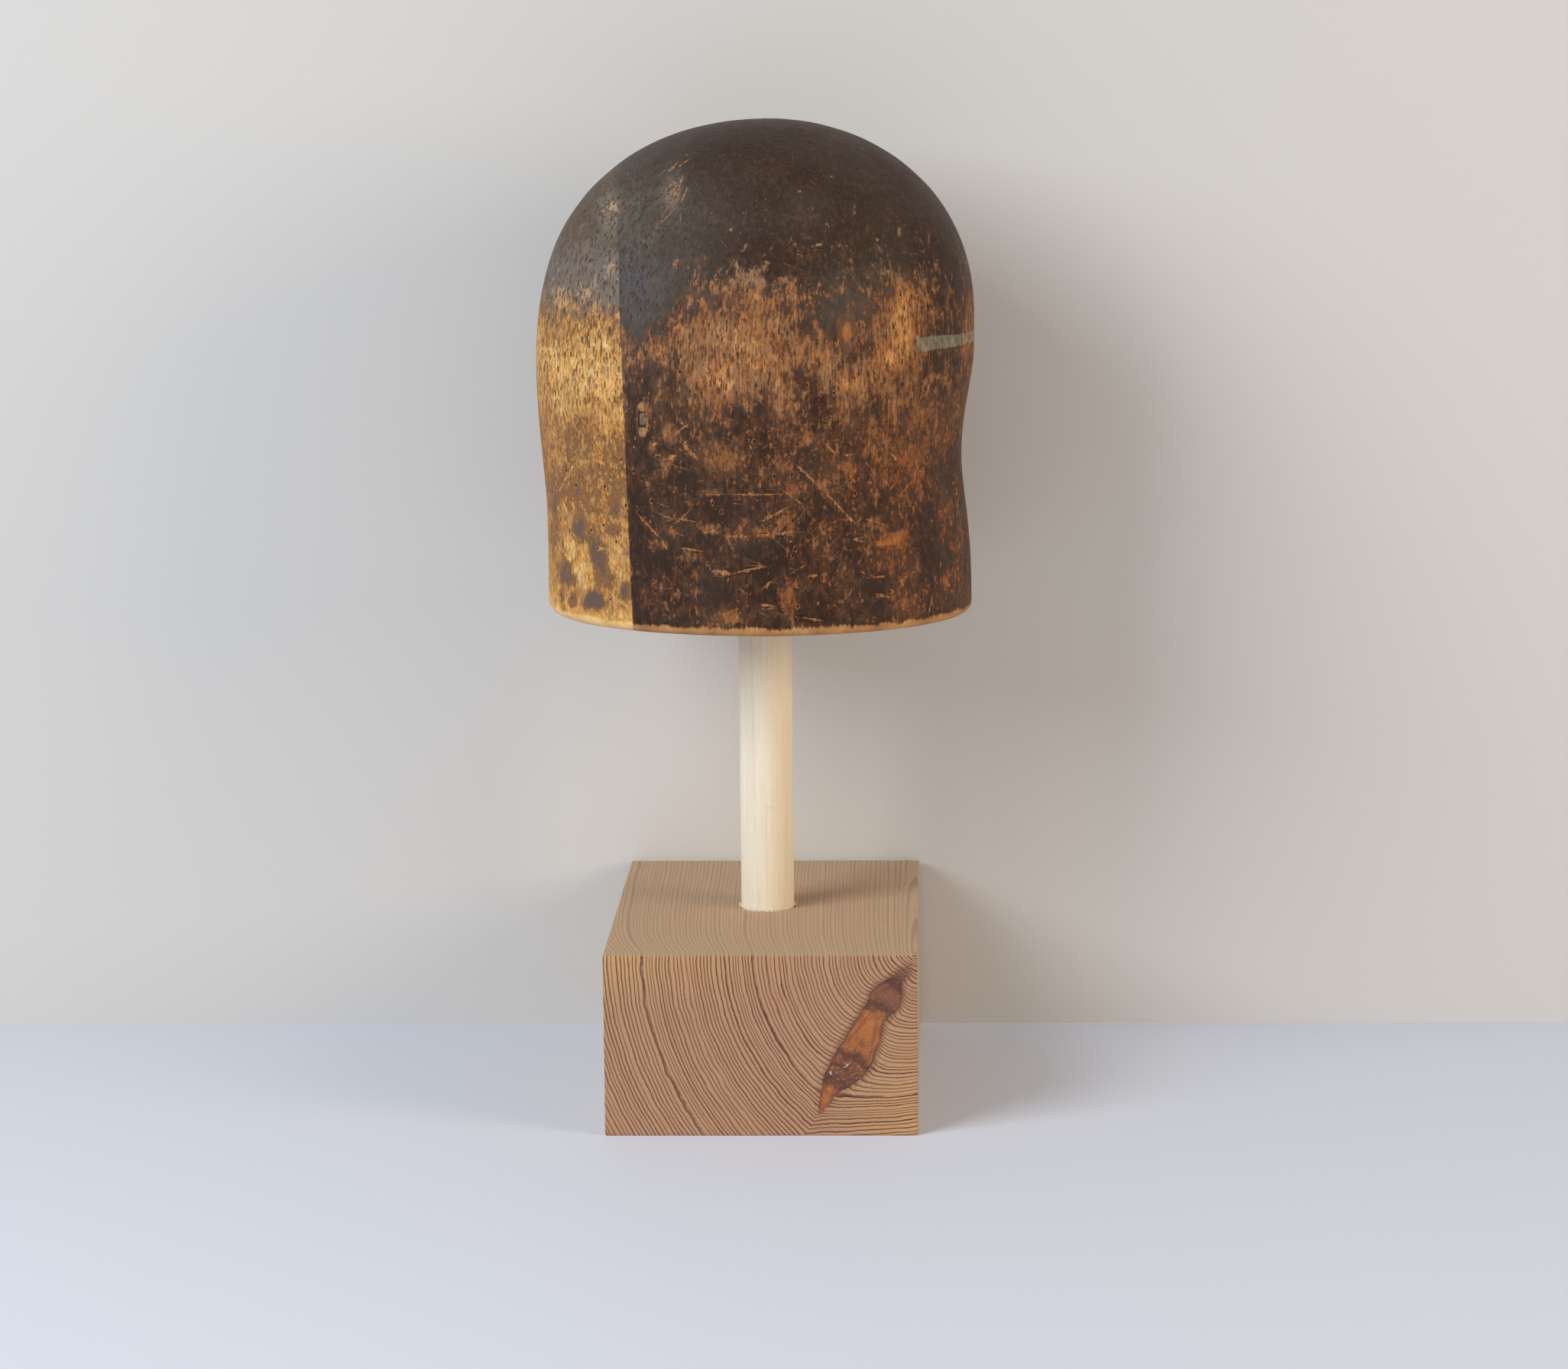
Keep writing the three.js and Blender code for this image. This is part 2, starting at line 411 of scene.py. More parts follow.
def closing(below_crown, dome, squareness):
    """1 below the dome, 0 at the crown: the square root of 1 - u^squareness, u rising through the dome."""
    u = np.clip(1.0 - below_crown / dome, 0.0, 1.0)
    return np.sqrt(1.0 - u**squareness)


def drawn_in(height, radius):
    """How far a round lower edge draws a side in: the quarter circle of that radius."""
    below = np.clip(radius - height, 0.0, None)
    return radius - np.sqrt(radius**2 - below**2)


def head_section(head, height):
    """Reach to the front, reach to the nape and half width at a height above the rim, in millimetres."""
    below_crown = (head.crown_height - head.rim_height) / MM - height
    front = head.front_reach / MM + FRONT_SWELL * between(FRONT_SWELL_FROM, FRONT_SWELL_TO, height)
    hollow = NAPE_HOLLOW * np.exp(-(((height - NAPE_HOLLOW_HEIGHT) / NAPE_HOLLOW_SPREAD) ** 2))
    nape = head.nape_reach / MM + NAPE_SWELL * between(NAPE_SWELL_FROM, NAPE_SWELL_TO, height) - hollow
    front = (front + CROWN_OFFSET) * closing(below_crown, FRONT_DOME, FRONT_SQUARENESS) - CROWN_OFFSET
    nape = (nape - CROWN_OFFSET) * closing(below_crown, NAPE_DOME, NAPE_SQUARENESS) + CROWN_OFFSET
    half = head.half_width / MM * closing(below_crown, SIDE_DOME, SIDE_SQUARENESS)
    return (front - drawn_in(height, FRONT_RIM_RADIUS), nape - drawn_in(height, RIM_RADIUS),
            half - drawn_in(height, RIM_RADIUS))


def head_points(head, height, angle):
    """Points of the head's outside. At each height the outline is an oval round the post's axis, a little
    wider towards the nape; the angle starts at the nape and runs by way of the far side."""
    front, nape, half = head_section(head, height)
    along = (nape - front) / 2 + (nape + front) / 2 * np.cos(angle)
    across = half * np.sin(angle) * (1.0 + EGG_SHAPE * np.cos(angle))
    return np.stack(np.broadcast_arrays(along, across, head.rim_height / MM + height), axis=-1)


def near_angle(head, along, height):
    """The angle at which the side towards the viewer reaches a place along the head."""
    front, nape, _ = head_section(head, height)
    return -np.arccos(np.clip((along - (nape - front) / 2) / ((nape + front) / 2), -1.0, 1.0))


# How worn the core boards and the cheek are at heights above the rim, as (heights, wear)
CORE_WEAR = ((0, 8, 60, 92, 114, 140, 154, 166, 180, 229),
             (0.25, 0.25, 0.27, 0.36, 0.60, 0.58, 0.42, 0.20, 0.07, 0.04))
CHEEK_WEAR = ((0, 7, 15, 48, 62, 84, 100, 114, 128, 138, 148, 162, 178, 229),
              (1.00, 0.86, 0.70, 0.66, 0.54, 0.58, 0.76, 0.90, 0.84, 0.62, 0.36, 0.24, 0.08, 0.04))
DRAWN_SPOTS, SHORT_SCRATCHES = 46, 620  # marks without a place of their own
MEAN_RADIUS = 88.0  # of the head's plan
NONE_NEAR = 9.0  # kept for a point with no scratch or pinhole near it

# Spots on the side towards the viewer, as (along, above the rim, half length, half height, strength):
# more wear above 0, less below it
WORN_SPOTS = (
    # Worn band on the core boards and the nape
    (65, 141, 6, 18, 0.46), (61, 124, 11, 5, 0.28), (15, 159, 4, 4, 0.34), (39, 138, 2, 5, 0.55),
    (38, 136, 6, 8, -0.16), (1, 158, 3, 10, 0.26), (7, 130, 9, 8, 0.20), (37, 149, 17, 12, -0.20),
    (86, 126, 11, 34, -0.28), (86, 146, 1.2, 14, 0.36), (25, 108, 8, 13, -0.32), (3, 108, 5, 6, -0.24),
    (53, 104, 18, 12, -0.05), (12, 103, 4, 8, 0.14), (-15, 126, 13, 15, 0.24), (-18, 137, 8, 5, 0.14),
    (-45, 131, 8, 5, 0.16), (-50, 154, 13, 21, -0.62), (-36, 169, 1.5, 3, 0.40), (-23, 172, 1, 2, 0.42),
    (-12, 155, 3, 4, 0.22), (-29, 153, 1.5, 3, 0.24), (-26, 161, 6, 7, 0.12), (-6, 163, 6, 6, 0.12),
    (-20, 154, 16, 10, -0.08), (-53, 113, 8, 9, -0.30), (-38, 108, 12, 12, -0.06), (-40, 92, 5, 4, 0.36),
    (22, 90, 3, 2, 0.34), (-37, 117, 3, 12, -0.22), (-8, 104, 6, 6, -0.20), (32, 141, 11, 7, -0.16),
    (45, 128, 7, 9, -0.12), (42, 114, 3, 2.5, 0.28), (-20, 138, 9, 6, 0.06), (-24, 126, 14, 12, -0.08),
    (-3, 142, 5, 20, 0.10), (33, 122, 5, 8, 0.08), (76, 112, 7, 10, -0.14),
    # Skirt of the core boards
    (-48, 84, 2, 2.5, 0.45), (-42, 76, 1.5, 4, 0.45), (-13, 81, 8, 9, 0.22), (-21, 66, 7, 2, 0.32),
    (-49, 68, 1.5, 1.5, 0.42), (-22, 50, 6, 2, 0.30), (-39, 47, 2, 1.5, 0.50), (-8, 50, 1.5, 2.5, 0.42),
    (-30, 37, 5, 3, 0.30), (-46, 41, 4, 2, 0.28), (-27, 28, 1.5, 2.5, 0.30), (-45, 22, 8, 4, 0.14),
    (-15, 9, 7, 4, 0.26), (-19, 19, 8, 5, -0.25), (-48, 34, 7, 5, -0.22), (-32, 73, 6, 5, -0.25),
    (-20, 58, 6, 5, -0.20), (-6, 36, 5, 4, -0.20), (-55, 60, 2.5, 80, -0.18), (8, 77, 10, 4, 0.28),
    (16, 65, 3, 4, 0.28), (32, 69, 4, 8, 0.26), (42, 74, 4, 3.5, 0.32), (52, 73, 2.5, 4, 0.20),
    (64, 70, 14, 14, 0.08), (66, 79, 6, 4, 0.16), (62, 42, 6.5, 4, 0.48), (57, 41, 4, 1, 0.30),
    (52, 51, 2, 2, 0.35), (16, 52, 2.5, 6, 0.30), (5, 47, 7, 1.5, 0.30), (38, 28, 9, 8, 0.10),
    (55, 31, 4, 5, 0.24), (14, 39, 1.5, 4, 0.34), (14, 15, 3, 10, 0.34), (71, 27, 2, 4, 0.30),
    (85, 19, 2, 4, 0.30), (85, 51, 2, 3, 0.26), (62, 13, 2, 4, 0.24), (5, 25, 7, 13, -0.26),
    (70, 50, 8, 4, -0.20), (80, 30, 8, 7, -0.20), (23, 36, 4, 9, -0.16), (54, 20, 7, 7, -0.24),
    (26, 15, 6, 5, -0.26), (84, 70, 5, 7, -0.14),
    # Cheek: brown film over its middle, blotches and fingers of it lower down
    (-80, 63, 30, 11, -0.08), (-83, 44, 4.5, 6, -0.52), (-73, 33, 3.4, 8, -0.50), (-90, 23, 4.5, 6, -0.56),
    (-76, 12, 6, 5, -0.95), (-61, 18, 2.4, 4, -0.50), (-93, 9, 1.5, 5, -0.56), (-87, 11, 1.8, 3, -0.48),
    (-76, 41, 3, 5, -0.34), (-96, 51, 2, 9, -0.34), (-66, 57, 4, 5, -0.24), (-66, 163, 3, 6, 0.16),
    (-70, 24, 5, 5, -0.20), (-66, 47, 5, 4, -0.20), (-97, 34, 2, 6, -0.30), (-80, 53, 5, 3, -0.18),
    (-82, 25, 4, 9, 0.20), (-65, 33, 4, 9, 0.22), (-88, 34, 2.5, 6, 0.22), (-88, 150, 5, 6, 0.18),
    (-84, 90, 12, 6, -0.14),
    # Chips and scrapes on the dome
    (-66, 191, 2.0, 2.4, 0.95), (-37, 198, 2.6, 2.6, 0.80), (-40, 192, 2, 6, 0.34), (20, 199, 1.0, 1.0, 0.70),
    (45, 190, 0.8, 1.6, 0.50), (51, 182, 1.0, 2.0, 0.50), (77, 176, 1.0, 2.0, 0.50), (-11, 183, 1.0, 1.4, 0.50),
    (17, 214, 0.8, 0.8, 0.50), (33, 184, 0.8, 1.2, 0.45), (64, 179, 0.9, 2.2, 0.45), (-3, 176, 0.9, 2.0, 0.45),
)

# Where the finish has gone grey, partly dust haze and partly painted sheen, where worn wood is more orange, and chips
# in millimetres of depth
BLOOM_AND_SHEEN_SPOTS = ((-54, 148, 13, 30, 0.46), (38, 149, 20, 15, 0.30), (-38, 199, 5, 9, 0.75), (-68, 190, 5, 9, 0.75))
WARM_SPOTS = (
    (65, 143, 8, 22, 1.0), (61, 124, 11, 6, 0.7), (39, 138, 3, 6, 1.0), (15, 159, 5, 5, 0.9), (7, 130, 9, 8, 0.4),
    (62, 42, 8, 5, 1.0), (64, 70, 16, 14, 0.6), (42, 74, 5, 4, 0.6), (42, 114, 4, 4, 0.8), (40, 30, 22, 14, 0.4),
    (55, 31, 5, 6, 0.6), (14, 15, 4, 10, 0.5), (-42, 112, 9, 8, 0.4),
)
CHIPS = ((-66, 191, 3.2, 3.2, 0.75), (-37, 197, 4.4, 4.4, 0.55), (-76, 13, 5.0, 5.0, -0.10))

# The pale oval round the nail
NAIL_MARK_X, NAIL_MARK_HEIGHT = -51.8, 98.0

# The fields kept with the head's mesh, with their values inside the bore and at the crown
FIELDS = {"wear": (1.0, 0.03), "bloom": (0.0, 0.0), "scratch_across": (NONE_NEAR, NONE_NEAR),
          "scratch_width": (0.0, 0.0), "warmth": (0.0, 0.0), "pin_along": (NONE_NEAR, NONE_NEAR),
          "pin_above": (NONE_NEAR, NONE_NEAR)}

# Long scratches on that side, as (along, above the rim, along, above the rim, half width)
LONG_SCRATCHES = (
    (-34, 88, -27, 81, 0.65), (17, 79, 30, 66, 0.50), (30, 66, 46, 48, 0.42), (29, 89, 37, 81, 0.40),
    (-23, 142, -9, 130, 0.75), (-13, 65, 10, 65, 0.38), (-24, 65, -14, 65, 0.32), (-14, 46, -4, 46, 0.60),
    (-4, 46, 20, 48, 0.42), (2, 53, 16, 60, 0.40), (1, 53, 9, 43, 0.36), (-21, 30, -12, 29, 0.80),
    (-12, 29, 6, 33, 0.42),
    (2, 22, 7, 26, 0.55), (1, 15, 8, 14, 0.50), (-38, 54, -27, 52, 0.34), (-25, 47, -18, 49, 0.42),
    (10, 68, 21, 60, 0.30), (-35, 40, -24, 39, 0.45), (19, 9, 29, 7, 0.40), (15, 29, 22, 33, 0.30),
    (-83, 77, -94, 58, 0.42), (-55, 55, -44, 44, 0.42), (-44, 44, -41, 39, 0.50), (-46, 56, -38, 53, 0.35),
    (-98, 49, -96, 42, 0.36), (-96, 42, -90, 38, 0.32), (-89, 47, -84, 39, 0.35), (80, 78, 61, 59, 0.36),
    (46, 77, 41, 70, 0.40), (90, 66, 93, 28, 0.40), (77, 5, 79, 14, 0.45), (-31, 201, -34, 194, 0.40),
    (-34, 194, -44, 184, 0.28), (-44, 184, -49, 172, 0.20), (-36, 211, -40, 207, 0.50),
    (-40, 209, -45, 205, 0.24), (-34, 190, -34, 185, 0.20), (-61, 201, -63, 198, 0.20),
    (-33, 206, -37, 194, 0.36), (-36, 203, -42, 188, 0.26), (-38, 195, -47, 180, 0.20), (-30, 213, -37, 208, 0.34),
    (-68, 190, -73, 187, 0.30), (-67, 188, -70, 185, 0.22), (25, 175, 30, 176, 0.50),
)

# Pinholes on that side, as (along, above the rim)
PINHOLES = (
    (-1, 89), (8, 73), (16, 74), (11, 66), (16, 53), (17, 40), (16, 37), (17, 8), (18, 14), (44, 64), (-16, 57),
    (-60, 58), (-55, 57), (-84, 65), (-77, 45), (-71, 48), (-65, 41), (-74, 37), (-56, 74), (35, 110), (23, 114),
    (-48, 61), (-20, 61), (-49, 94), (-34, 120), (-89, 71), (-70, 66), (-62, 79),
)


def pin_fields(points, height):
    """How far each point lies along and above the nearest listed pinhole. The two lengths stay exact
    between the mesh's points, so the holes can be smaller than its faces."""
    along, above = np.full((2, len(points)), NONE_NEAR)
    nearest = np.where(points[:, 1] < 0.0, 4.5, 0.0)
    for x, h in PINHOLES:
        away = np.hypot(points[:, 0] - x, height - h)
        better = away < nearest
        nearest[better] = away[better]
        along[better], above[better] = points[better, 0] - x, height[better] - h
    return along, above


def scratch_ends(head):
    """Both ends and the half width of every scratch: the long ones listed for the near side, and short ones
    drawn from a seeded generator, most of them low down and nearly level."""
    placed = np.array(LONG_SCRATCHES, float)
    first = head_points(head, placed[:, 1], near_angle(head, placed[:, 0], placed[:, 1]))
    last = head_points(head, placed[:, 3], near_angle(head, placed[:, 2], placed[:, 3]))
    draw, count = np.random.default_rng(41), SHORT_SCRATCHES
    angle = draw.uniform(0.0, 2.0 * math.pi, count)
    height = np.where(draw.random(count) < 0.84, draw.uniform(7.0, 98.0, count), draw.uniform(98.0, 212.0, count))
    reach = np.clip(draw.exponential(3.0, count), 0.6, 15.0)
    tilt = draw.normal(0.0, 0.55, count) + np.where(draw.random(count) < 0.22, math.pi / 2, 0.0)
    rise, turn = reach * np.sin(tilt) / 2, reach * np.cos(tilt) / 2 / (head.half_width / MM)
    short_first = head_points(head, height - rise, angle - turn)
    short_last = head_points(head, height + rise, angle + turn)
    half_width = np.clip(draw.exponential(0.17, count) + 0.12, 0.0, 0.50) * np.where(height > 98.0, 0.6, 1.0)
    return (np.concatenate([first, short_first]), np.concatenate([last, short_last]),
            np.concatenate([placed[:, 4], half_width]))


def scratch_fields(head, points, normals):
    """For each point, the signed distance across the nearest scratch and that scratch's half width there,
    which tapers to nothing at its ends. Both are measured along the surface."""
    across, width = np.full(len(points), NONE_NEAR), np.zeros(len(points))
    nearest = np.full(len(points), 2.5)
    for first, last, half_width in zip(*scratch_ends(head)):
        line = last - first
        span = np.linalg.norm(line)
        line = line / span
        close = np.nonzero(np.abs(points - (first + last) / 2).max(axis=1) < span / 2 + 4.0)[0]
        offset = points[close] - first
        along = offset @ line
        sideways = np.cross(normals[close], line)
        sideways /= np.linalg.norm(sideways, axis=1)[:, None] + 1e-9
        signed = np.einsum("ij,ij->i", offset, sideways)
        beyond = np.clip(-along, 0.0, None) + np.clip(along - span, 0.0, None)
        away = np.hypot(signed, beyond)
        taper = np.clip(np.minimum(along, span - along) / (0.25 * span) + 0.25, 0.0, 1.0)
        better = away < nearest[close]
        chosen = close[better]
        nearest[chosen] = away[better]
        across[chosen] = signed[better]
        width[chosen] = half_width * taper[better]
    return across, width


def wear_field(head, points, height, angle):
    """How far the finish is rubbed off, from 0 to 1: a worn band round the head over a scuffed skirt, the
    listed spots on the near side, drawn ones elsewhere, and slow lumps."""
    along, near = points[:, 0], points[:, 1] < 0.0
    seam = cheek_plane_x(head, height)
    core = np.interp(height, *CORE_WEAR)
    core += between(-5.0, 30.0, along) * (0.06 * between(110.0, 90.0, height)
                                          + 0.08 * np.exp(-(((height - 96.0) / 18.0) ** 2)))
    core += 0.04 * between(48.0, 70.0, along)
    wear = np.where(along < seam, np.interp(height, *CHEEK_WEAR), core)
    bent_along = along + 1.7 * lumps(points, 5.5, 21)
    bent_height = height + 2.0 * lumps(points, 5.5, 22)
    for x, h, half_length, half_height, strength in WORN_SPOTS:
        same_board = (along < seam) == (x < cheek_plane_x(head, h))
        away = ((bent_along - x) / half_length) ** 2 + ((bent_height - h) / half_height) ** 2
        flat_topped = 2.0 if x < head.cheek_seam / MM else 1.0
        wear += strength * np.exp(-(away**flat_topped)) * near * same_board
    draw = np.random.default_rng(7)
    for _ in range(DRAWN_SPOTS):
        turn, h = draw.uniform(0.15, math.pi - 0.15), draw.uniform(10.0, 165.0)
        half_length, half_height = draw.uniform(4.0, 13.0), draw.uniform(4.0, 15.0)
        strength = draw.uniform(0.14, 0.34) * draw.choice([-1.0, 1.0])
        across = (angle - turn) * MEAN_RADIUS / half_length
        wear += strength * np.exp(-(across**2) - ((height - h) / half_height) ** 2)
    wear += 0.09 * lumps(points, 17.0, 3) + 0.06 * lumps(points, 7.0, 4)
    return np.clip(wear, -0.3, 1.3)


def near_spots(points, height, rows):
    """The sum of soft spots on the side towards the viewer: each is exp(-u^2 - v^2) times its strength, where
    u and v are the distances along and above in half sizes. Rows read as those of WORN_SPOTS."""
    total = np.zeros(len(points))
    for x, h, half_length, half_height, strength in rows:
        total += strength * np.exp(-(((points[:, 0] - x) / half_length) ** 2) - ((height - h) / half_height) ** 2)
    return total * (points[:, 1] < 0.0)


def bloom_and_sheen_field(points, height):
    """How grey the finish looks, partly dust haze and partly painted sheen: towards the front of the dome, and a cooler
    patch beside the cheek.
    """
    along = points[:, 0]
    front = between(-10.0, 70.0, -along)
    upper = between(120.0, 175.0, height) * (1.0 - 0.6 * between(190.0, 225.0, height))
    cheek = (along < -57.0 - 0.028 * height) * between(122.0, 144.0, height) * between(184.0, 156.0, height)
    # Painted sheen: grey towards the front and top of the dome and beside the cheek, partly dust haze and partly
    # reflected light
    bloom = 0.46 * front * upper + 0.46 * cheek + 0.06 * between(165.0, 190.0, height)
    bloom += near_spots(points, height, BLOOM_AND_SHEEN_SPOTS) + 0.12 * lumps(points, 21.0, 9)
    return np.clip(bloom, 0.0, 1.0)


def warmth_field(points, height):
    """Where the worn wood is more orange."""
    return near_spots(points, height, WARM_SPOTS) + 0.3 * lumps(points, 19.0, 12)


def cheek_plane_x(head, height):
    """Where the leaning front glue line stands at a height above the rim."""
    return head.cheek_seam / MM - np.tan(head.cheek_lean) * height


def head_heights(head):
    """Heights of the rings on the outside, evenly spaced along the side of the dome."""
    total = (head.crown_height - head.rim_height) / MM
    fine = total * (1.0 - np.linspace(1.0, 0.0, 6000) ** 3)
    half = head_section(head, fine)[2]
    run = np.concatenate([[0.0], np.cumsum(np.hypot(np.diff(fine), np.diff(half)))])
    return np.interp(np.linspace(0.0, run[-1], HEAD_RINGS + 1)[:-1], run, fine)


def grid_normals(rings):
    """Unit normals of a grid of rings, from the differences of each point's neighbours."""
    round_it = np.roll(rings, -1, axis=1) - np.roll(rings, 1, axis=1)
    found = np.cross(round_it, np.gradient(rings, axis=0))
    return found / (np.linalg.norm(found, axis=-1, keepdims=True) + 1e-12)


def head_relief(head, points, height, wear):
    """Outward relief in millimetres: slow hand-worked lumps, hollows where the wear is deep, chips, a dished
    oval round the nail, and eased glue lines."""
    along, near = points[:, 0], points[:, 1] < 0.0
    relief = 0.32 * lumps(points, 31.0, 21) + 0.10 * lumps(points, 8.0, 22)
    relief -= 0.16 * np.clip(wear, 0.0, 1.0) * (0.6 + 0.4 * lumps(points, 3.0, 23))
    relief -= near_spots(points, height, CHIPS)
    oval = np.hypot((along - NAIL_MARK_X) / 3.4, (height - NAIL_MARK_HEIGHT) / 8.4)
    relief -= 0.45 * near * (1.0 - between(0.55, 1.0, oval))
    relief += 0.14 * near * np.exp(-(((oval - 1.15) / 0.18) ** 2))
    relief -= 0.06 * np.exp(-(((along - cheek_plane_x(head, height)) / 0.9) ** 2))
    return relief * between(0.0, 4.0, height)


def round_directions(turn):
    """Level unit directions at these turns round the post's axis."""
    return np.stack([np.cos(turn), np.sin(turn), np.zeros_like(turn)], axis=-1)


def whole_head(head):
    """The head before it is parted into boards. One grid runs from the middle of the bore's floor down its
    wall, over the underside, round the rim and up to the crown; the fields of its finish are kept with it."""
    columns = HEAD_COLUMNS
    angle = np.linspace(0.0, 2.0 * math.pi, columns, endpoint=False)
    rim, bore, ceiling = head.rim_height / MM, head.socket_radius / MM, head.socket_top / MM
    heights = head_heights(head)
    outside = head_points(head, heights[:, None], angle[None, :])
    normals = grid_normals(outside)
    points, height = outside.reshape(-1, 3), np.repeat(heights, columns)
    wear = wear_field(head, points, height, np.tile(angle, len(heights)))
    fields = (wear, bloom_and_sheen_field(points, height), *scratch_fields(head, points, normals.reshape(-1, 3)),
              warmth_field(points, height), *pin_fields(points, height))
    outside = outside + normals * head_relief(head, points, height, wear).reshape(len(heights), columns, 1)

    circle = round_directions(angle) * bore
    levels = [(0.3, ceiling), (0.65, ceiling), (1.0, ceiling)]
    levels += [(1.0, z) for z in np.linspace(ceiling, rim + 0.5, 22)[1:]] + [(1.03, rim)]
    inside = [circle * share + UP * z for share, z in levels]
    mouth, edge = inside[-1], outside[0]
    inside += [mouth + (edge - mouth) * share for share in np.linspace(0.0, 1.0, 34)[1:-1]]
    mesh = skin("whole_head", np.concatenate([inside, outside]), UP * ceiling,
                (CROWN_OFFSET, 0.0, head.crown_height / MM))
    for values, (name, (hidden, crown)) in zip(fields, FIELDS.items()):
        field = mesh.attributes.new(name, "FLOAT", "POINT")
        together = np.concatenate([np.full(len(inside) * columns, hidden), values, [hidden, crown]])
        field.data.foreach_set("value", together.astype(np.float32))
    return mesh


def part_board(whole, name, planes):
    """Cuts one board out of the whole head. Each plane is a point and the direction of what is cut away; the
    cut is closed with flat faces."""
    cutter = bmesh.new()
    cutter.from_mesh(whole)
    for point, away in planes:
        everything = cutter.verts[:] + cutter.edges[:] + cutter.faces[:]
        cut = bmesh.ops.bisect_plane(cutter, geom=everything, dist=1e-7, plane_co=point, plane_no=away,
                                     clear_outer=True)
        rim = [e for e in cut["geom_cut"] if isinstance(e, bmesh.types.BMEdge)]
        bmesh.ops.triangle_fill(cutter, use_beauty=True, edges=rim, normal=away)
    bmesh.ops.recalc_face_normals(cutter, faces=cutter.faces[:])
    mesh = bpy.data.meshes.new(name)
    cutter.to_mesh(mesh)
    cutter.free()
    return mesh


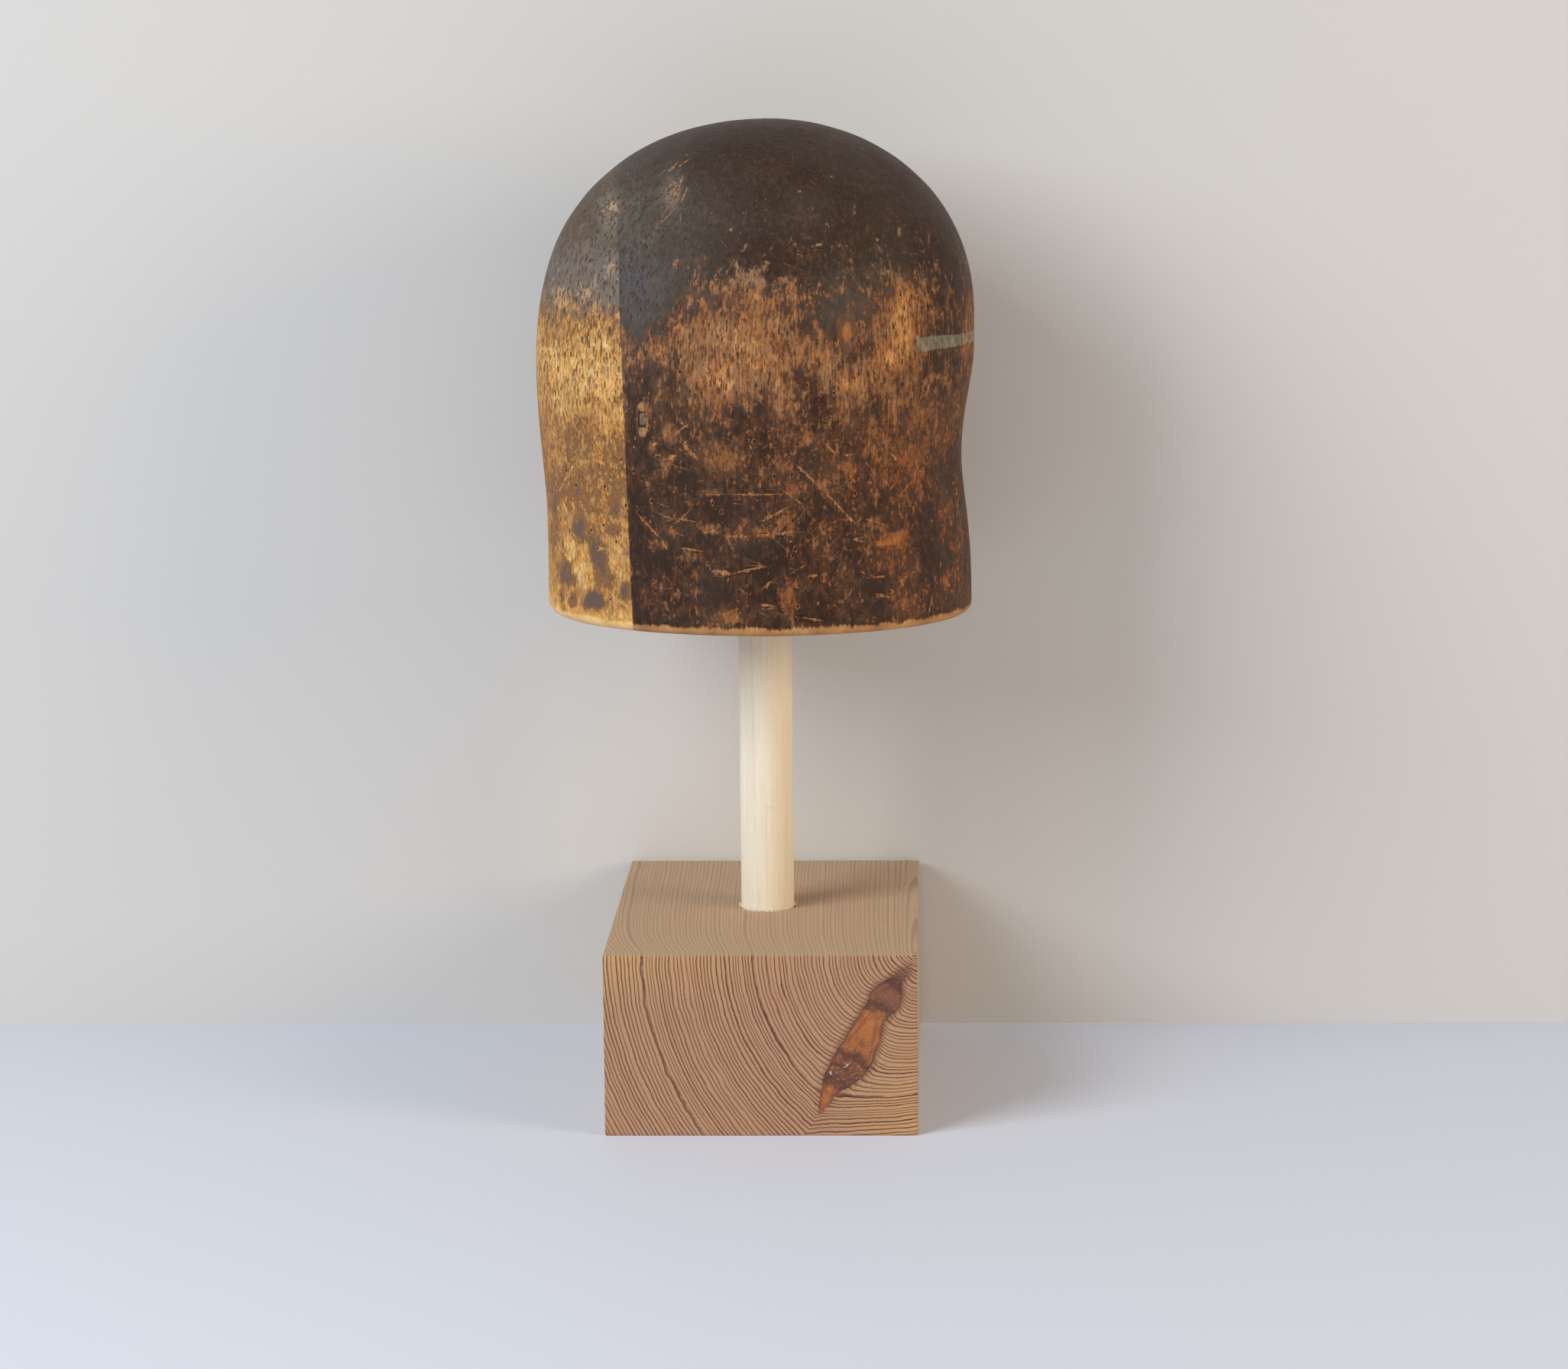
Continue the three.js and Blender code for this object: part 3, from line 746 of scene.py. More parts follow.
def head_finish(settings, name, marks, rubbed_tone, cool_wood, haze_and_sheen_tone, skirt_tint, grain_start):
    """Dark finish worn off upright-grained wood. The mesh's fields say how worn a place is, and noise on several
    scales makes that uneven; one row of tones runs from whole finish to palest wood. Scratches, flecks and the
    rim are bare; pores, pinholes, painted highlight specks and grey bloom lie over. The bloom is partly dust haze
    and partly painted sheen, and painted sheen also greys the upper wood. Marks names what only this board has:
    the fair wood of the front, the nail, the knot or the chalk."""
    fair = marks == "fair"
    colours = settings.colours
    tones = [tuple(getattr(colours, ("cheek_" if fair else "") + tone)) for tone in WOOD_TONES]
    film, _, stain, wood, _, pale = tones
    m = Paint(bpy.data.materials.new(name + "_finish"))
    place = m.place()
    x, y, z = m.parts(place)
    height = z - settings.head.rim_height / MM
    wear, bloom, across, width, warmth, pin_along, pin_above = (m.read(field) for field in FIELDS)
    pin = (pin_along ** 2.0 + (pin_above / 1.7) ** 2.0) ** 0.5
    grain = place + grain_start

    # How bare each place is
    low_down = height.rises(112.0, 88.0)
    patches = m.noise(place * (0.27, 0.27, 0.18), detail=8.0, roughness=0.68)
    clouds = m.noise(place * (0.085, 0.085, 0.07), detail=4.0, roughness=0.6)
    grainy = m.noise(grain * ((0.85, 0.85, 0.34) if fair else (0.80, 0.80, 0.25)), detail=5.0, roughness=0.72)
    streaks = m.noise(grain * (1.5, 1.5, 0.08), detail=3.0, roughness=0.6)
    strands = m.noise(grain * (0.36, 0.36, 0.042), detail=4.0, roughness=0.62)
    small = m.noise(place * (0.62, 0.62, 0.46), detail=5.0, roughness=0.68)
    alive = (wear.rises(0.0, 0.26) * 0.80 + 0.20) * (1.0 - wear.rises(0.40, 0.62) * 0.30)
    uneven = (patches * (0.92 - low_down * 0.10) + clouds * (0.55 - low_down * 0.2)
              + grainy * (0.66 - low_down * 0.30) + small * (low_down * 0.70)
              + streaks * ((0.10 if fair else 0.26) - low_down * 0.14)
              + strands * ((0.12 if fair else 0.52) - low_down * (0.0 if fair else 0.40)))
    broken = m.noise(place * 0.7, detail=4.0, roughness=0.65)
    line = ((width * (1.9 + broken * 3.2) - abs(across + broken * 0.9)) * 2.2).clip()
    hole_distance, hole_kind = m.cells(place * (0.15, 0.15, 0.115))
    some = hole_kind[0].rises(0.66, 0.72) * height.rises(150.0, 120.0)
    halo = (hole_distance + broken * 0.08).rises(0.24, 0.12) * some * hole_kind[1].rises(0.55, 0.65)
    halo = halo.most((pin + broken * 0.9).rises(1.5, 0.8))
    hole = (hole_distance.rises(0.080, 0.050) * some).most((pin + broken * 0.25).rises(0.52, 0.30))
    fleck = (hole_distance + broken * 0.16).rises(0.14, 0.09) * hole_kind[0].rises(0.20, 0.16)
    ragged = (m.noise(place * 0.10, detail=2.0) * 2.0 + grainy * 0.6 + streaks * 1.3
              + m.noise(grain * (0.30, 0.30, 0.14), detail=4.0, roughness=0.6) * 2.0)
    bare_rim = (height - (5.0 if fair else 4.1) - ragged).rises(1.3, -1.1)
    above_rim = 1.0 - bare_rim
    level = (wear + uneven * alive).most(line * (0.82 + grainy))
    level = level.most(halo * (0.55 + grainy * 0.8)).most(fleck * (0.50 + hole_kind[1] * 0.35))
    level = level.most(bare_rim * ((1.06 if fair else 0.98) + clouds * 0.35 + streaks * 0.14))
    bare = level.rises(0.39, 0.50) if fair else level.rises(0.35, 0.53)

    # The finish, from whole to rubbed
    thinness = m.noise(place * (0.34, 0.34, 0.20) + (70.0, 0.0, 0.0), detail=6.0, roughness=0.70)
    thinness = thinness * 1.9 + clouds * 0.6 + wear * 1.1 + low_down * 0.08 - 0.16 + streaks * 0.6 * low_down
    whole = m.mix(thinness.clip() * 0.80, film, stain)
    if fair:
        whole = m.mix(height.rises(156.0, 180.0) * 0.9, whole, colours.thin_film)
        rubbed = (wear + patches * 0.80 + small * 0.30).rises(0.20, 0.30)
    else:
        rubbed = 0.72 + grainy * 1.2 + patches * 0.6 + clouds * 1.2 + small * low_down * 1.6
        rubbed = wear.rises(0.30, 0.58) * rubbed
    # Painted sheen: grey laid over the finish, most on the front and top of the dome, partly dust haze and partly
    # reflected light
    haze_and_sheen = m.mix(bloom.rises(0.35, 0.80) * height.rises(184.0, 164.0), colours.bloom, haze_and_sheen_tone)
    brushed = bloom.rises(0.70, 0.95) * height.rises(176.0, 186.0) * (0.30 + streaks * 2.0 + grainy).clip()
    haze_and_sheen = m.mix(brushed, haze_and_sheen, srgb(146, 130, 108))
    whole = m.laid(
        whole, (rubbed.clip() * 0.90, rubbed_tone),
        ((bloom * (0.95 + patches * 1.3 + clouds * 0.6 + grainy * 0.5)).clip(), haze_and_sheen),
        ((small * 1.6 + grainy * 0.7 - 0.05).clip() * height.rises(130.0, 160.0) * 0.50, haze_and_sheen_tone),
        ((0.0 - small * 1.5 - streaks * 0.5).clip() * bloom.clip() * 0.75, film))

    # The wood under it
    colour = m.ramp(level / 1.25, list(zip((0.24, 0.29, 0.35, 0.50, 0.71, 0.95), tones)))
    colour = m.tinted(low_down * 0.62 * above_rim, colour, skirt_tint)
    stroke = (0.0 - grainy - streaks * (0.35 if fair else 0.62)).rises(0.02, 0.20)
    colour = m.mix(stroke * above_rim * (1.0 - low_down * 0.40) * 0.78, colour, stain)
    hue = m.noise(grain * (0.36, 0.36, 0.13) + (40.0, 0.0, 0.0), detail=4.0, roughness=0.6)
    colour = m.tinted(((0.05 - hue) * 2.0 + warmth * 1.3).clip() * 0.62, colour, (1.15, 0.90, 0.64))
    # Painted sheen: the wood is laid over with grey higher up, standing in for light the surface reflects there
    upper_sheen = height.rises(140.0, 158.0) * 0.75 if fair else height.rises(150.0, 172.0) * 0.50
    colour = m.laid(colour, (((hue - 0.02) * 2.6).clip() * above_rim * 0.46, cool_wood),
                    (upper_sheen, srgb(154, 138, 120) if fair else srgb(140, 118, 98)))
    colour = m.mix(bare, whole, colour)
    hairline = (0.34 - abs(across + broken * 0.4)).rises(0.0, 0.2) * width.rises(0.03, 0.12) * (1.0 - line)
    colour = m.mix(hairline * (0.34 + grainy).clip() * (1.0 - bare), colour, srgb(150, 124, 98))

    # Pores, pinholes and painted highlight specks
    pore_distance, pore_kind = m.cells((grain + m.joined(streaks, streaks, grainy))
                                       * ((0.66, 0.66, 0.21) if fair else (0.76, 0.76, 0.24)))
    rare = pore_kind[0] + clouds * (0.8 if fair else 1.3) + patches * 0.8 - (0.0 if fair else 0.20)
    pore = (pore_distance + grainy * 0.30).rises(0.46, 0.28) * rare.rises(0.36, 0.50)
    shown = (bare * (0.45 + (1.0 - low_down) * 0.55) + bloom * 1.3).clip() * height.rises(6.0, 13.0)
    pore = pore * shown * above_rim
    pore_tone = srgb(92, 60, 40) if fair else [0.9 * c for c in film]
    # Painted highlight: pale specks beside some pores, where light catches the relief
    glint = pore_kind[2].rises(0.84, 0.90) * pore_distance.rises(0.20, 0.08) * (1.0 - low_down * 0.5)
    colour = m.laid(colour, (pore * ((0.35 if fair else 0.20) + pore_kind[1] * 0.60), pore_tone),
                    (hole, [0.3 * c for c in film]), (glint * 0.5, srgb(172, 160, 144)))

    near = y.rises(0.0, -1.0)
    if marks == "nail":
        beside, above = (x - NAIL_MARK_X) / 3.0, height - NAIL_MARK_HEIGHT
        oval = beside ** 2.0 + (above / 8.3) ** 2.0 + grainy * 0.45 + patches * 0.4
        low_blob = above.rises(-3.6, -4.4) * abs(beside - 0.15).rises(0.80, 0.50)
        blobs = above.rises(2.4, 3.4).most(low_blob) * (0.72 + grainy * 1.5 + patches * 0.8)
        ring = oval.rises(0.60, 0.85) * beside.rises(-0.2, 0.6) * 0.75
        worn = oval.rises(1.10, 0.80) * blobs.most(ring).most(0.22).clip() * near
        dark = (abs(x + 51.9 + grainy * 0.6) + patches * 0.5).rises(2.0, 1.5) * abs(above + grainy).rises(4.0, 3.2)
        colour = m.laid(colour, (worn, m.mix((0.22 + low_blob * 0.3 + grainy * 1.4).clip(), wood, pale)),
                        (dark * 0.85 * near, film))
    if marks == "knot":
        oval = (((x - 41.2) / 2.3) ** 2.0 + ((height - 137.0) / 5.2) ** 2.0) ** 0.5 + patches * 0.7 + grainy * 0.4
        heart = m.mix((0.6 + grainy * 1.6).clip(), wood, srgb(190, 118, 64))
        colour = m.laid(colour, (oval.rises(1.9, 1.5) * oval.rises(0.9, 1.2) * near * 0.6, srgb(104, 76, 58)),
                        (oval.rises(1.15, 0.55) * near * 0.75, heart))
    if marks == "chalk":
        slope = (x - 73.0) / 24.0
        half = 3.5 - slope * 1.1 + patches * 1.2 + grainy * 0.8
        strip = (half - abs(height - 129.6 + slope * 0.6)).rises(-0.25, 0.35)
        strip = strip * (x + grainy * 3.0 + patches * 3.0).rises(71.0, 74.0) * near
        colour = m.mix((strip * (0.60 + patches * 0.9 + grainy * 0.9 - pore * 0.5)).clip(), colour,
                       srgb(142, 136, 114))

    roughness = 0.46 + bare * 0.26 + bloom * 0.10 + patches * 0.12
    relief = (grainy * 0.45 + streaks * 0.25 - pore * (1.5 if fair else 1.1) - line * 0.5 - hole - bare * 0.35
              + patches * 0.30)
    return m.surface(colour, roughness.clip(), relief, 0.28, **{"Specular IOR Level": 0.12})


# The boards from front to nape: name, node, slot, what only this board has, then its rubbed finish, cool wood,
# haze with painted sheen, the tint of its skirt, and where its grain starts
BOARDS = (
    ("front_cheek_board", "head_front_cheek", "head_worn_pale", "fair", srgb(134, 94, 60), srgb(160, 136, 104),
     srgb(112, 105, 98), (0.93, 0.88, 0.78), (11.0, 5.0, 3.0)),
    ("front_core_board", "head_front_core", "head_dark_finish", "nail", srgb(104, 80, 61), srgb(118, 97, 76),
     srgb(84, 80, 83), (0.88, 0.74, 0.62), (57.0, 31.0, 83.0)),
    ("rear_core_board", "head_rear_core", "head_dark_finish", "knot", srgb(96, 72, 55), srgb(112, 90, 71),
     srgb(96, 88, 82), (0.88, 0.72, 0.60), (97.0, 61.0, 23.0)),
    ("nape_board", "head_nape_board", "head_dark_finish", "chalk", srgb(92, 67, 50), srgb(104, 82, 64),
     srgb(96, 88, 82), (0.86, 0.70, 0.58), (141.0, 17.0, 57.0)),
)


class HATSTAND_OT_head(bpy.types.Operator):
    """Makes the four glued boards of the head"""

    bl_idname = "hatstand.head"
    bl_label = "Head"

    def execute(self, context):
        settings = context.scene.hat_stand
        head = settings.head
        whole = whole_head(head)
        faces = []
        for seam, gap, lean in ((head.cheek_seam, head.cheek_gap, head.cheek_lean),
                                (head.core_seam, head.seam_gap, 0.0), (head.nape_seam, head.seam_gap, 0.0)):
            at = Vector((seam, 0.0, head.rim_height))
            back = Vector((math.cos(lean), 0.0, math.sin(lean)))
            faces.append(((at - back * (gap / 2), back), (at + back * (gap / 2), -back)))
        for number, (name, node, slot_name, *looks) in enumerate(BOARDS):
            planes = [face[1] for face in faces[max(number - 1, 0):number]]
            planes += [face[0] for face in faces[number:number + 1]]
            show(context, part_board(whole, name, planes), head_finish(settings, name, *looks), node, "head")
        bpy.data.meshes.remove(whole)
        return {"FINISHED"}


def nail_frame(settings):
    """The nail's outer middle on the head's surface, its direction into the wood and the direction across."""
    head = settings.head
    height = (settings.nail.height - head.rim_height) / MM
    angle = float(near_angle(head, NAIL_MARK_X, height))
    side = head_points(head, height, angle + 0.01) - head_points(head, height, angle - 0.01)
    side = side / np.linalg.norm(side)
    return head_points(head, height, angle), np.array([-side[1], side[0], 0.0]), side


class HATSTAND_OT_nail(bpy.types.Operator):
    """Makes the cut nail's shank that is left in the front core board"""

    bl_idname = "hatstand.nail"
    bl_label = "Nail"

    def execute(self, context):
        settings = context.scene.hat_stand
        nail = settings.nail
        spot, inward, side = nail_frame(settings)
        turn = np.linspace(0.0, 2.0 * math.pi, 48, endpoint=False)
        # A rounded rectangle: the fifth root keeps the corners soft
        round_share = (np.abs(np.cos(turn)) ** 5 + np.abs(np.sin(turn)) ** 5) ** -0.2
        wide = nail.width / MM / 2 * np.cos(turn) * round_share
        tall = nail.tallness / MM / 2 * np.sin(turn) * round_share
        outline = side * wide[:, None] + UP * tall[:, None]
        depths = np.array([14.0, 14.0, 13.4, 10.0, 6.0, 3.0, 1.2, 0.75, 0.52, 0.45, 0.42, 0.40]) - 0.05
        sizes = np.array([0.45, 0.80, 0.94, 0.96, 0.97, 0.98, 0.98, 0.95, 0.85, 0.62, 0.40, 0.20])
        rings = outline * sizes[:, None, None] + spot + inward * depths[:, None, None]
        rough = lumps(rings.reshape(-1, 3), 0.9, 61).reshape(rings.shape[:2])
        rings -= inward * (rough * 0.09 * (sizes < 0.99)[:, None] * (depths < 1.0)[:, None])[..., None]
        mesh = skin("cut_nail", rings, spot + inward * depths[0], spot + inward * depths[-1])
        show(context, mesh, self.iron(settings.colours), "nail_stub", "head", sharp=50.0)
        return {"FINISHED"}

    def iron(self, colours):
        m = Paint(bpy.data.materials.new("old_iron_finish"))
        place = m.place()
        pits = m.noise(place * 2.2, detail=4.0, roughness=0.65)
        rust = m.noise(place * 0.9, detail=3.0)
        colour = m.mix((0.4 + pits * 2.2).clip(), srgb(86, 66, 48), colours.iron)
        colour = m.mix((0.15 + rust * 2.2).clip(), colour, srgb(104, 74, 50))
        return m.surface(colour, (0.68 + pits * 0.2).clip(), pits, 0.20, **{"Specular IOR Level": 0.25})


def dowel_finish(settings):
    """Pale straight-grained dowel with painted warm shade down one side: fine streaks along it and rings at its ends.
    """
    m = Paint(bpy.data.materials.new("dowel_finish"))
    place = m.place()
    x, y, z = m.parts(place)
    fine = m.noise(place * (2.6, 2.6, 0.06), detail=3.0, roughness=0.6)
    broad = m.noise(place * (0.5, 0.5, 0.015), detail=2.0)
    specks = m.noise(place * (3.0, 3.0, 0.7), detail=2.0)
    share = (0.30 + fine * 0.55 + broad * 0.55 + specks * 0.15).clip()
    hair_distance, hair_kind = m.cells(place * (1.4, 1.4, 0.045))
    hair = hair_distance.rises(0.22, 0.08) * hair_kind[0].rises(0.62, 0.7)
    colour = m.mix(share, settings.colours.dowel, settings.colours.dowel_streak)
    colour = m.mix(hair * 0.22, colour, srgb(178, 148, 112))
    # Painted shade: one side is warmer and darker, standing in for warm bounced light on the post's shaded side
    colour = m.tinted((x + broad * 4.0).rises(-3.5, 6.5) * 0.75, colour, (0.97, 0.90, 0.79))
    mark = ((x - 2.0) / 2.2) ** 2.0 + ((z - 134.0) / 0.9) ** 2.0 + fine * 0.8
    ring = (((x + 22.0) ** 2.0 + (y - 9.0) ** 2.0) ** 0.5 / 1.7).sum("FRACT")
    ends = z.rises(settings.post.top / MM - 1.0, settings.post.top / MM - 0.6)
    colour = m.laid(colour, (mark.rises(1.1, 0.3) * y.rises(0.0, -1.0) * 0.30, srgb(222, 182, 150)),
                    (ends * ring.rises(0.5, 0.98) * 0.5, srgb(170, 138, 100)))
    return m.surface(colour, (0.66 + fine * 0.12).clip(), fine * 0.5 + specks * 0.3 - hair, 0.07, IOR=1.45)


class HATSTAND_OT_post(bpy.types.Operator):
    """Makes the dowel post and the torn fibres round its foot"""

    bl_idname = "hatstand.post"
    bl_label = "Post"

    def execute(self, context):
        settings = context.scene.hat_stand
        post = settings.post
        radius, foot, top, eased = (v / MM for v in (post.radius, post.foot, post.top, post.chamfer))
        end_heights = np.array([0.0, 0.0, 0.0, 0.3]) * eased
        end_radii = np.array([0.35, 0.7, 1.0 - eased / radius, 1.0 - 0.3 * eased / radius])
        heights = np.concatenate([foot + end_heights, np.linspace(foot + eased, top - eased, 170),
                                  top - end_heights[::-1]])
        radii = np.concatenate([end_radii, np.ones(170), end_radii[::-1]]) * radius
        circle = round_directions(np.linspace(0.0, 2.0 * math.pi, 96, endpoint=False))
        rings = circle * radii[:, None, None] + UP * heights[:, None, None]
        bumps = lumps(rings.reshape(-1, 3) * (1.0, 1.0, 0.12), 4.0, 71).reshape(rings.shape[:2])
        rings += circle * (bumps * 0.06 * (radii > 0.9 * radius)[:, None])[..., None]
        finish = dowel_finish(settings)
        show(context, skin("dowel_post", rings, UP * foot, UP * top), finish, "post", "post")
        show(context, self.fibres(radius, settings.base.height / MM), finish, None, "post",
             sharp=80.0)
        return {"FINISHED"}

    def fibres(self, radius, level):
        """Torn fibres round the post's foot: each is a low three-sided blade that arches outwards over the edge
        of the bore and comes down on the block."""
        draw = np.random.default_rng(19)
        count, steps = 110, 6
        turn = np.sort(draw.uniform(0.0, 2.0 * math.pi, count))
        out, around = round_directions(turn), round_directions(turn + math.pi / 2)
        reach = draw.exponential(0.30, count)[:, None].clip(0.0, 1.4) + 0.18
        lift = draw.uniform(0.2, 1.1, count)[:, None]
        drift = draw.normal(0.0, 0.8, count)[:, None]
        width = draw.exponential(0.26, count)[:, None].clip(0.0, 0.9) + 0.20
        rows = []
        for share in np.linspace(0.0, 1.0, steps):
            rise = 0.9 * (1.0 - share) ** 2 + lift * share * (1.0 - share) + 0.12
            spine = out * (radius - 0.12 + reach * share) + around * drift * share + UP * (level + rise)
            half = width * (1.0 - 0.75 * share)
            rows.append(np.stack([spine - around * half, spine + out * half * 0.7 + UP * half * 0.9,
                                  spine + around * half], axis=1))
        points = np.stack(rows, axis=1)
        first = np.arange(count)[:, None] * steps * 3
        row = np.arange(steps - 1)[:, None] * 3
        side, after = np.arange(3), np.array([1, 2, 0])
        blade = np.stack([row + side, row + 3 + side, row + 3 + after, row + after], axis=-1).reshape(-1, 4)
        quads = (first[..., None] + blade).reshape(-1, 4)
        low, high = first + side, first + (steps - 1) * 3 + side[::-1]
        mesh = bpy.data.meshes.new("foot_fibres")
        mesh.from_pydata((points.reshape(-1, 3) * MM).tolist(), [], quads.tolist() + low.tolist() + high.tolist())
        return mesh


def rounded_outline(half_x, half_y, radius):
    """A rectangle with rounded corners, counter-clockwise from the middle of the right side. The number of
    points doesn't depend on the sizes, so outlines of different sizes can be joined."""
    x, y = half_x - radius, half_y - radius
    corner = np.linspace(0.0, math.pi / 2, 5)[1:-1]

    def arc(middle_x, middle_y, quarter):
        turn = quarter * math.pi / 2 + corner
        return np.stack([middle_x + radius * np.cos(turn), middle_y + radius * np.sin(turn)], axis=-1)

    def run(x0, y0, x1, y1, count):
        return np.linspace((x0, y0), (x1, y1), count)

    return np.concatenate([
        run(half_x, 0.0, half_x, y, 62), arc(x, y, 0), run(x, half_y, -x, half_y, 86), arc(-x, y, 1),
        run(-half_x, y, -half_x, -y, 124), arc(-x, -y, 2), run(-x, -half_y, x, -half_y, 86), arc(x, -y, 3),
        run(half_x, -y, half_x, 0.0, 62)[:-1]])


def base_skin(settings):
    """The sawn block: one grid runs from the middle of the underside over its sides and top into the socket.
    Edges are rounded by a quarter circle; small lumps and torn fibres roughen them."""
    base = settings.base
    half_x, half_y, top, edge = (v / MM for v in (base.length / 2, base.depth / 2, base.height, base.edge))
    bore, floor = settings.head.socket_radius / MM, settings.post.foot / MM

    def ring(plan, z):
        return np.concatenate([plan, np.full((len(plan), 1), z)], axis=1)

    def wall(inset, z):
        return ring(rounded_outline(half_x - inset, half_y - inset, 0.9 - inset), z)

    rim = wall(edge, 0.0)[:, :2]
    circle = round_directions(np.arctan2(rim[:, 1], rim[:, 0]))[:, :2]
    eased = [(edge * (1.0 - math.sin(q)), edge * (1.0 - math.cos(q))) for q in np.linspace(0.0, math.pi / 2, 4)[1:]]
    rings = [ring(rim * share, 0.0) for share in np.linspace(0.04, 1.0, 24)]
    rings += [wall(far, near) for far, near in eased]
    rings += [wall(0.0, z) for z in np.linspace(edge, top - edge, 56)[1:]]
    rings += [wall(near, top - far) for far, near in eased]
    rings += [ring(rim + (circle * (bore + 0.5) - rim) * s, top) for s in np.linspace(0.0, 1.0, 54)[1:]]
    rings += [ring(circle * bore, z) for z in np.linspace(top - 0.5, floor, 22)]
    rings += [ring(circle * bore * s, floor) for s in (0.7, 0.35)]
    rings = np.array(rings)
    flat = rings.reshape(-1, 3)
    outward = np.clip((np.abs(flat) - np.array([half_x, half_y, 0.0]) + 1.2) / 1.2, 0.0, 1.0) * np.sign(flat)
    outward[:, 2] = np.where(flat[:, 2] > top - 1.2, (flat[:, 2] - top + 1.2) / 1.2, 0.0)
    on_edge = np.clip(np.abs(outward).sum(axis=1) - 1.0, 0.0, 1.0)
    socket = np.hypot(flat[:, 0], flat[:, 1]) < bore + 3.0
    torn = np.clip(lumps(flat * (1.0, 0.5, 1.0), 1.7, 33), 0.0, 1.0)
    depth = 0.05 * (lumps(flat, 5.0, 31) - 1.0) - 0.30 * on_edge * torn
    flat = flat + outward * (depth * ~socket)[:, None]
    flat[:, 2] = np.maximum(flat[:, 2], 0.0)
    return skin("sawn_base", flat.reshape(rings.shape), UP * 0.0, UP * floor)


# The knot's outline down its axis, as (along / 100 mm, half width / 10 mm, 0.5 + middle / 15 mm), and the tones
# of its heart down the same axis
KNOT_OUTLINE = (
    (0.03, 0.24, 0.62), (0.11, 0.28, 0.50), (0.17, 0.36, 0.42), (0.23, 0.66, 0.43), (0.29, 0.77, 0.42),
    (0.335, 0.66, 0.42), (0.38, 0.66, 0.39), (0.46, 0.79, 0.47), (0.57, 0.90, 0.55), (0.64, 0.88, 0.54),
    (0.71, 0.69, 0.46), (0.745, 0.57, 0.42), (0.785, 0.42, 0.41), (0.82, 0.38, 0.46), (0.89, 0.25, 0.52),
    (0.93, 0.10, 0.50),
)
KNOT_TONES = (
    (0.05, (150, 102, 74)), (0.10, (120, 74, 54)), (0.15, (84, 50, 40)), (0.18, (92, 54, 42)),
    (0.205, (134, 82, 60)), (0.275, (140, 90, 66)), (0.305, "knot_dark"), (0.33, (110, 72, 48)),
    (0.355, "knot_light"), (0.54, (160, 98, 54)), (0.575, "knot_dark"), (0.61, (140, 84, 50)),
    (0.64, "knot_dark"), (0.67, (122, 74, 50)), (0.70, "knot_dark"), (0.735, (116, 68, 48)),
    (0.775, (184, 108, 58)), (0.90, (196, 116, 62)),
)


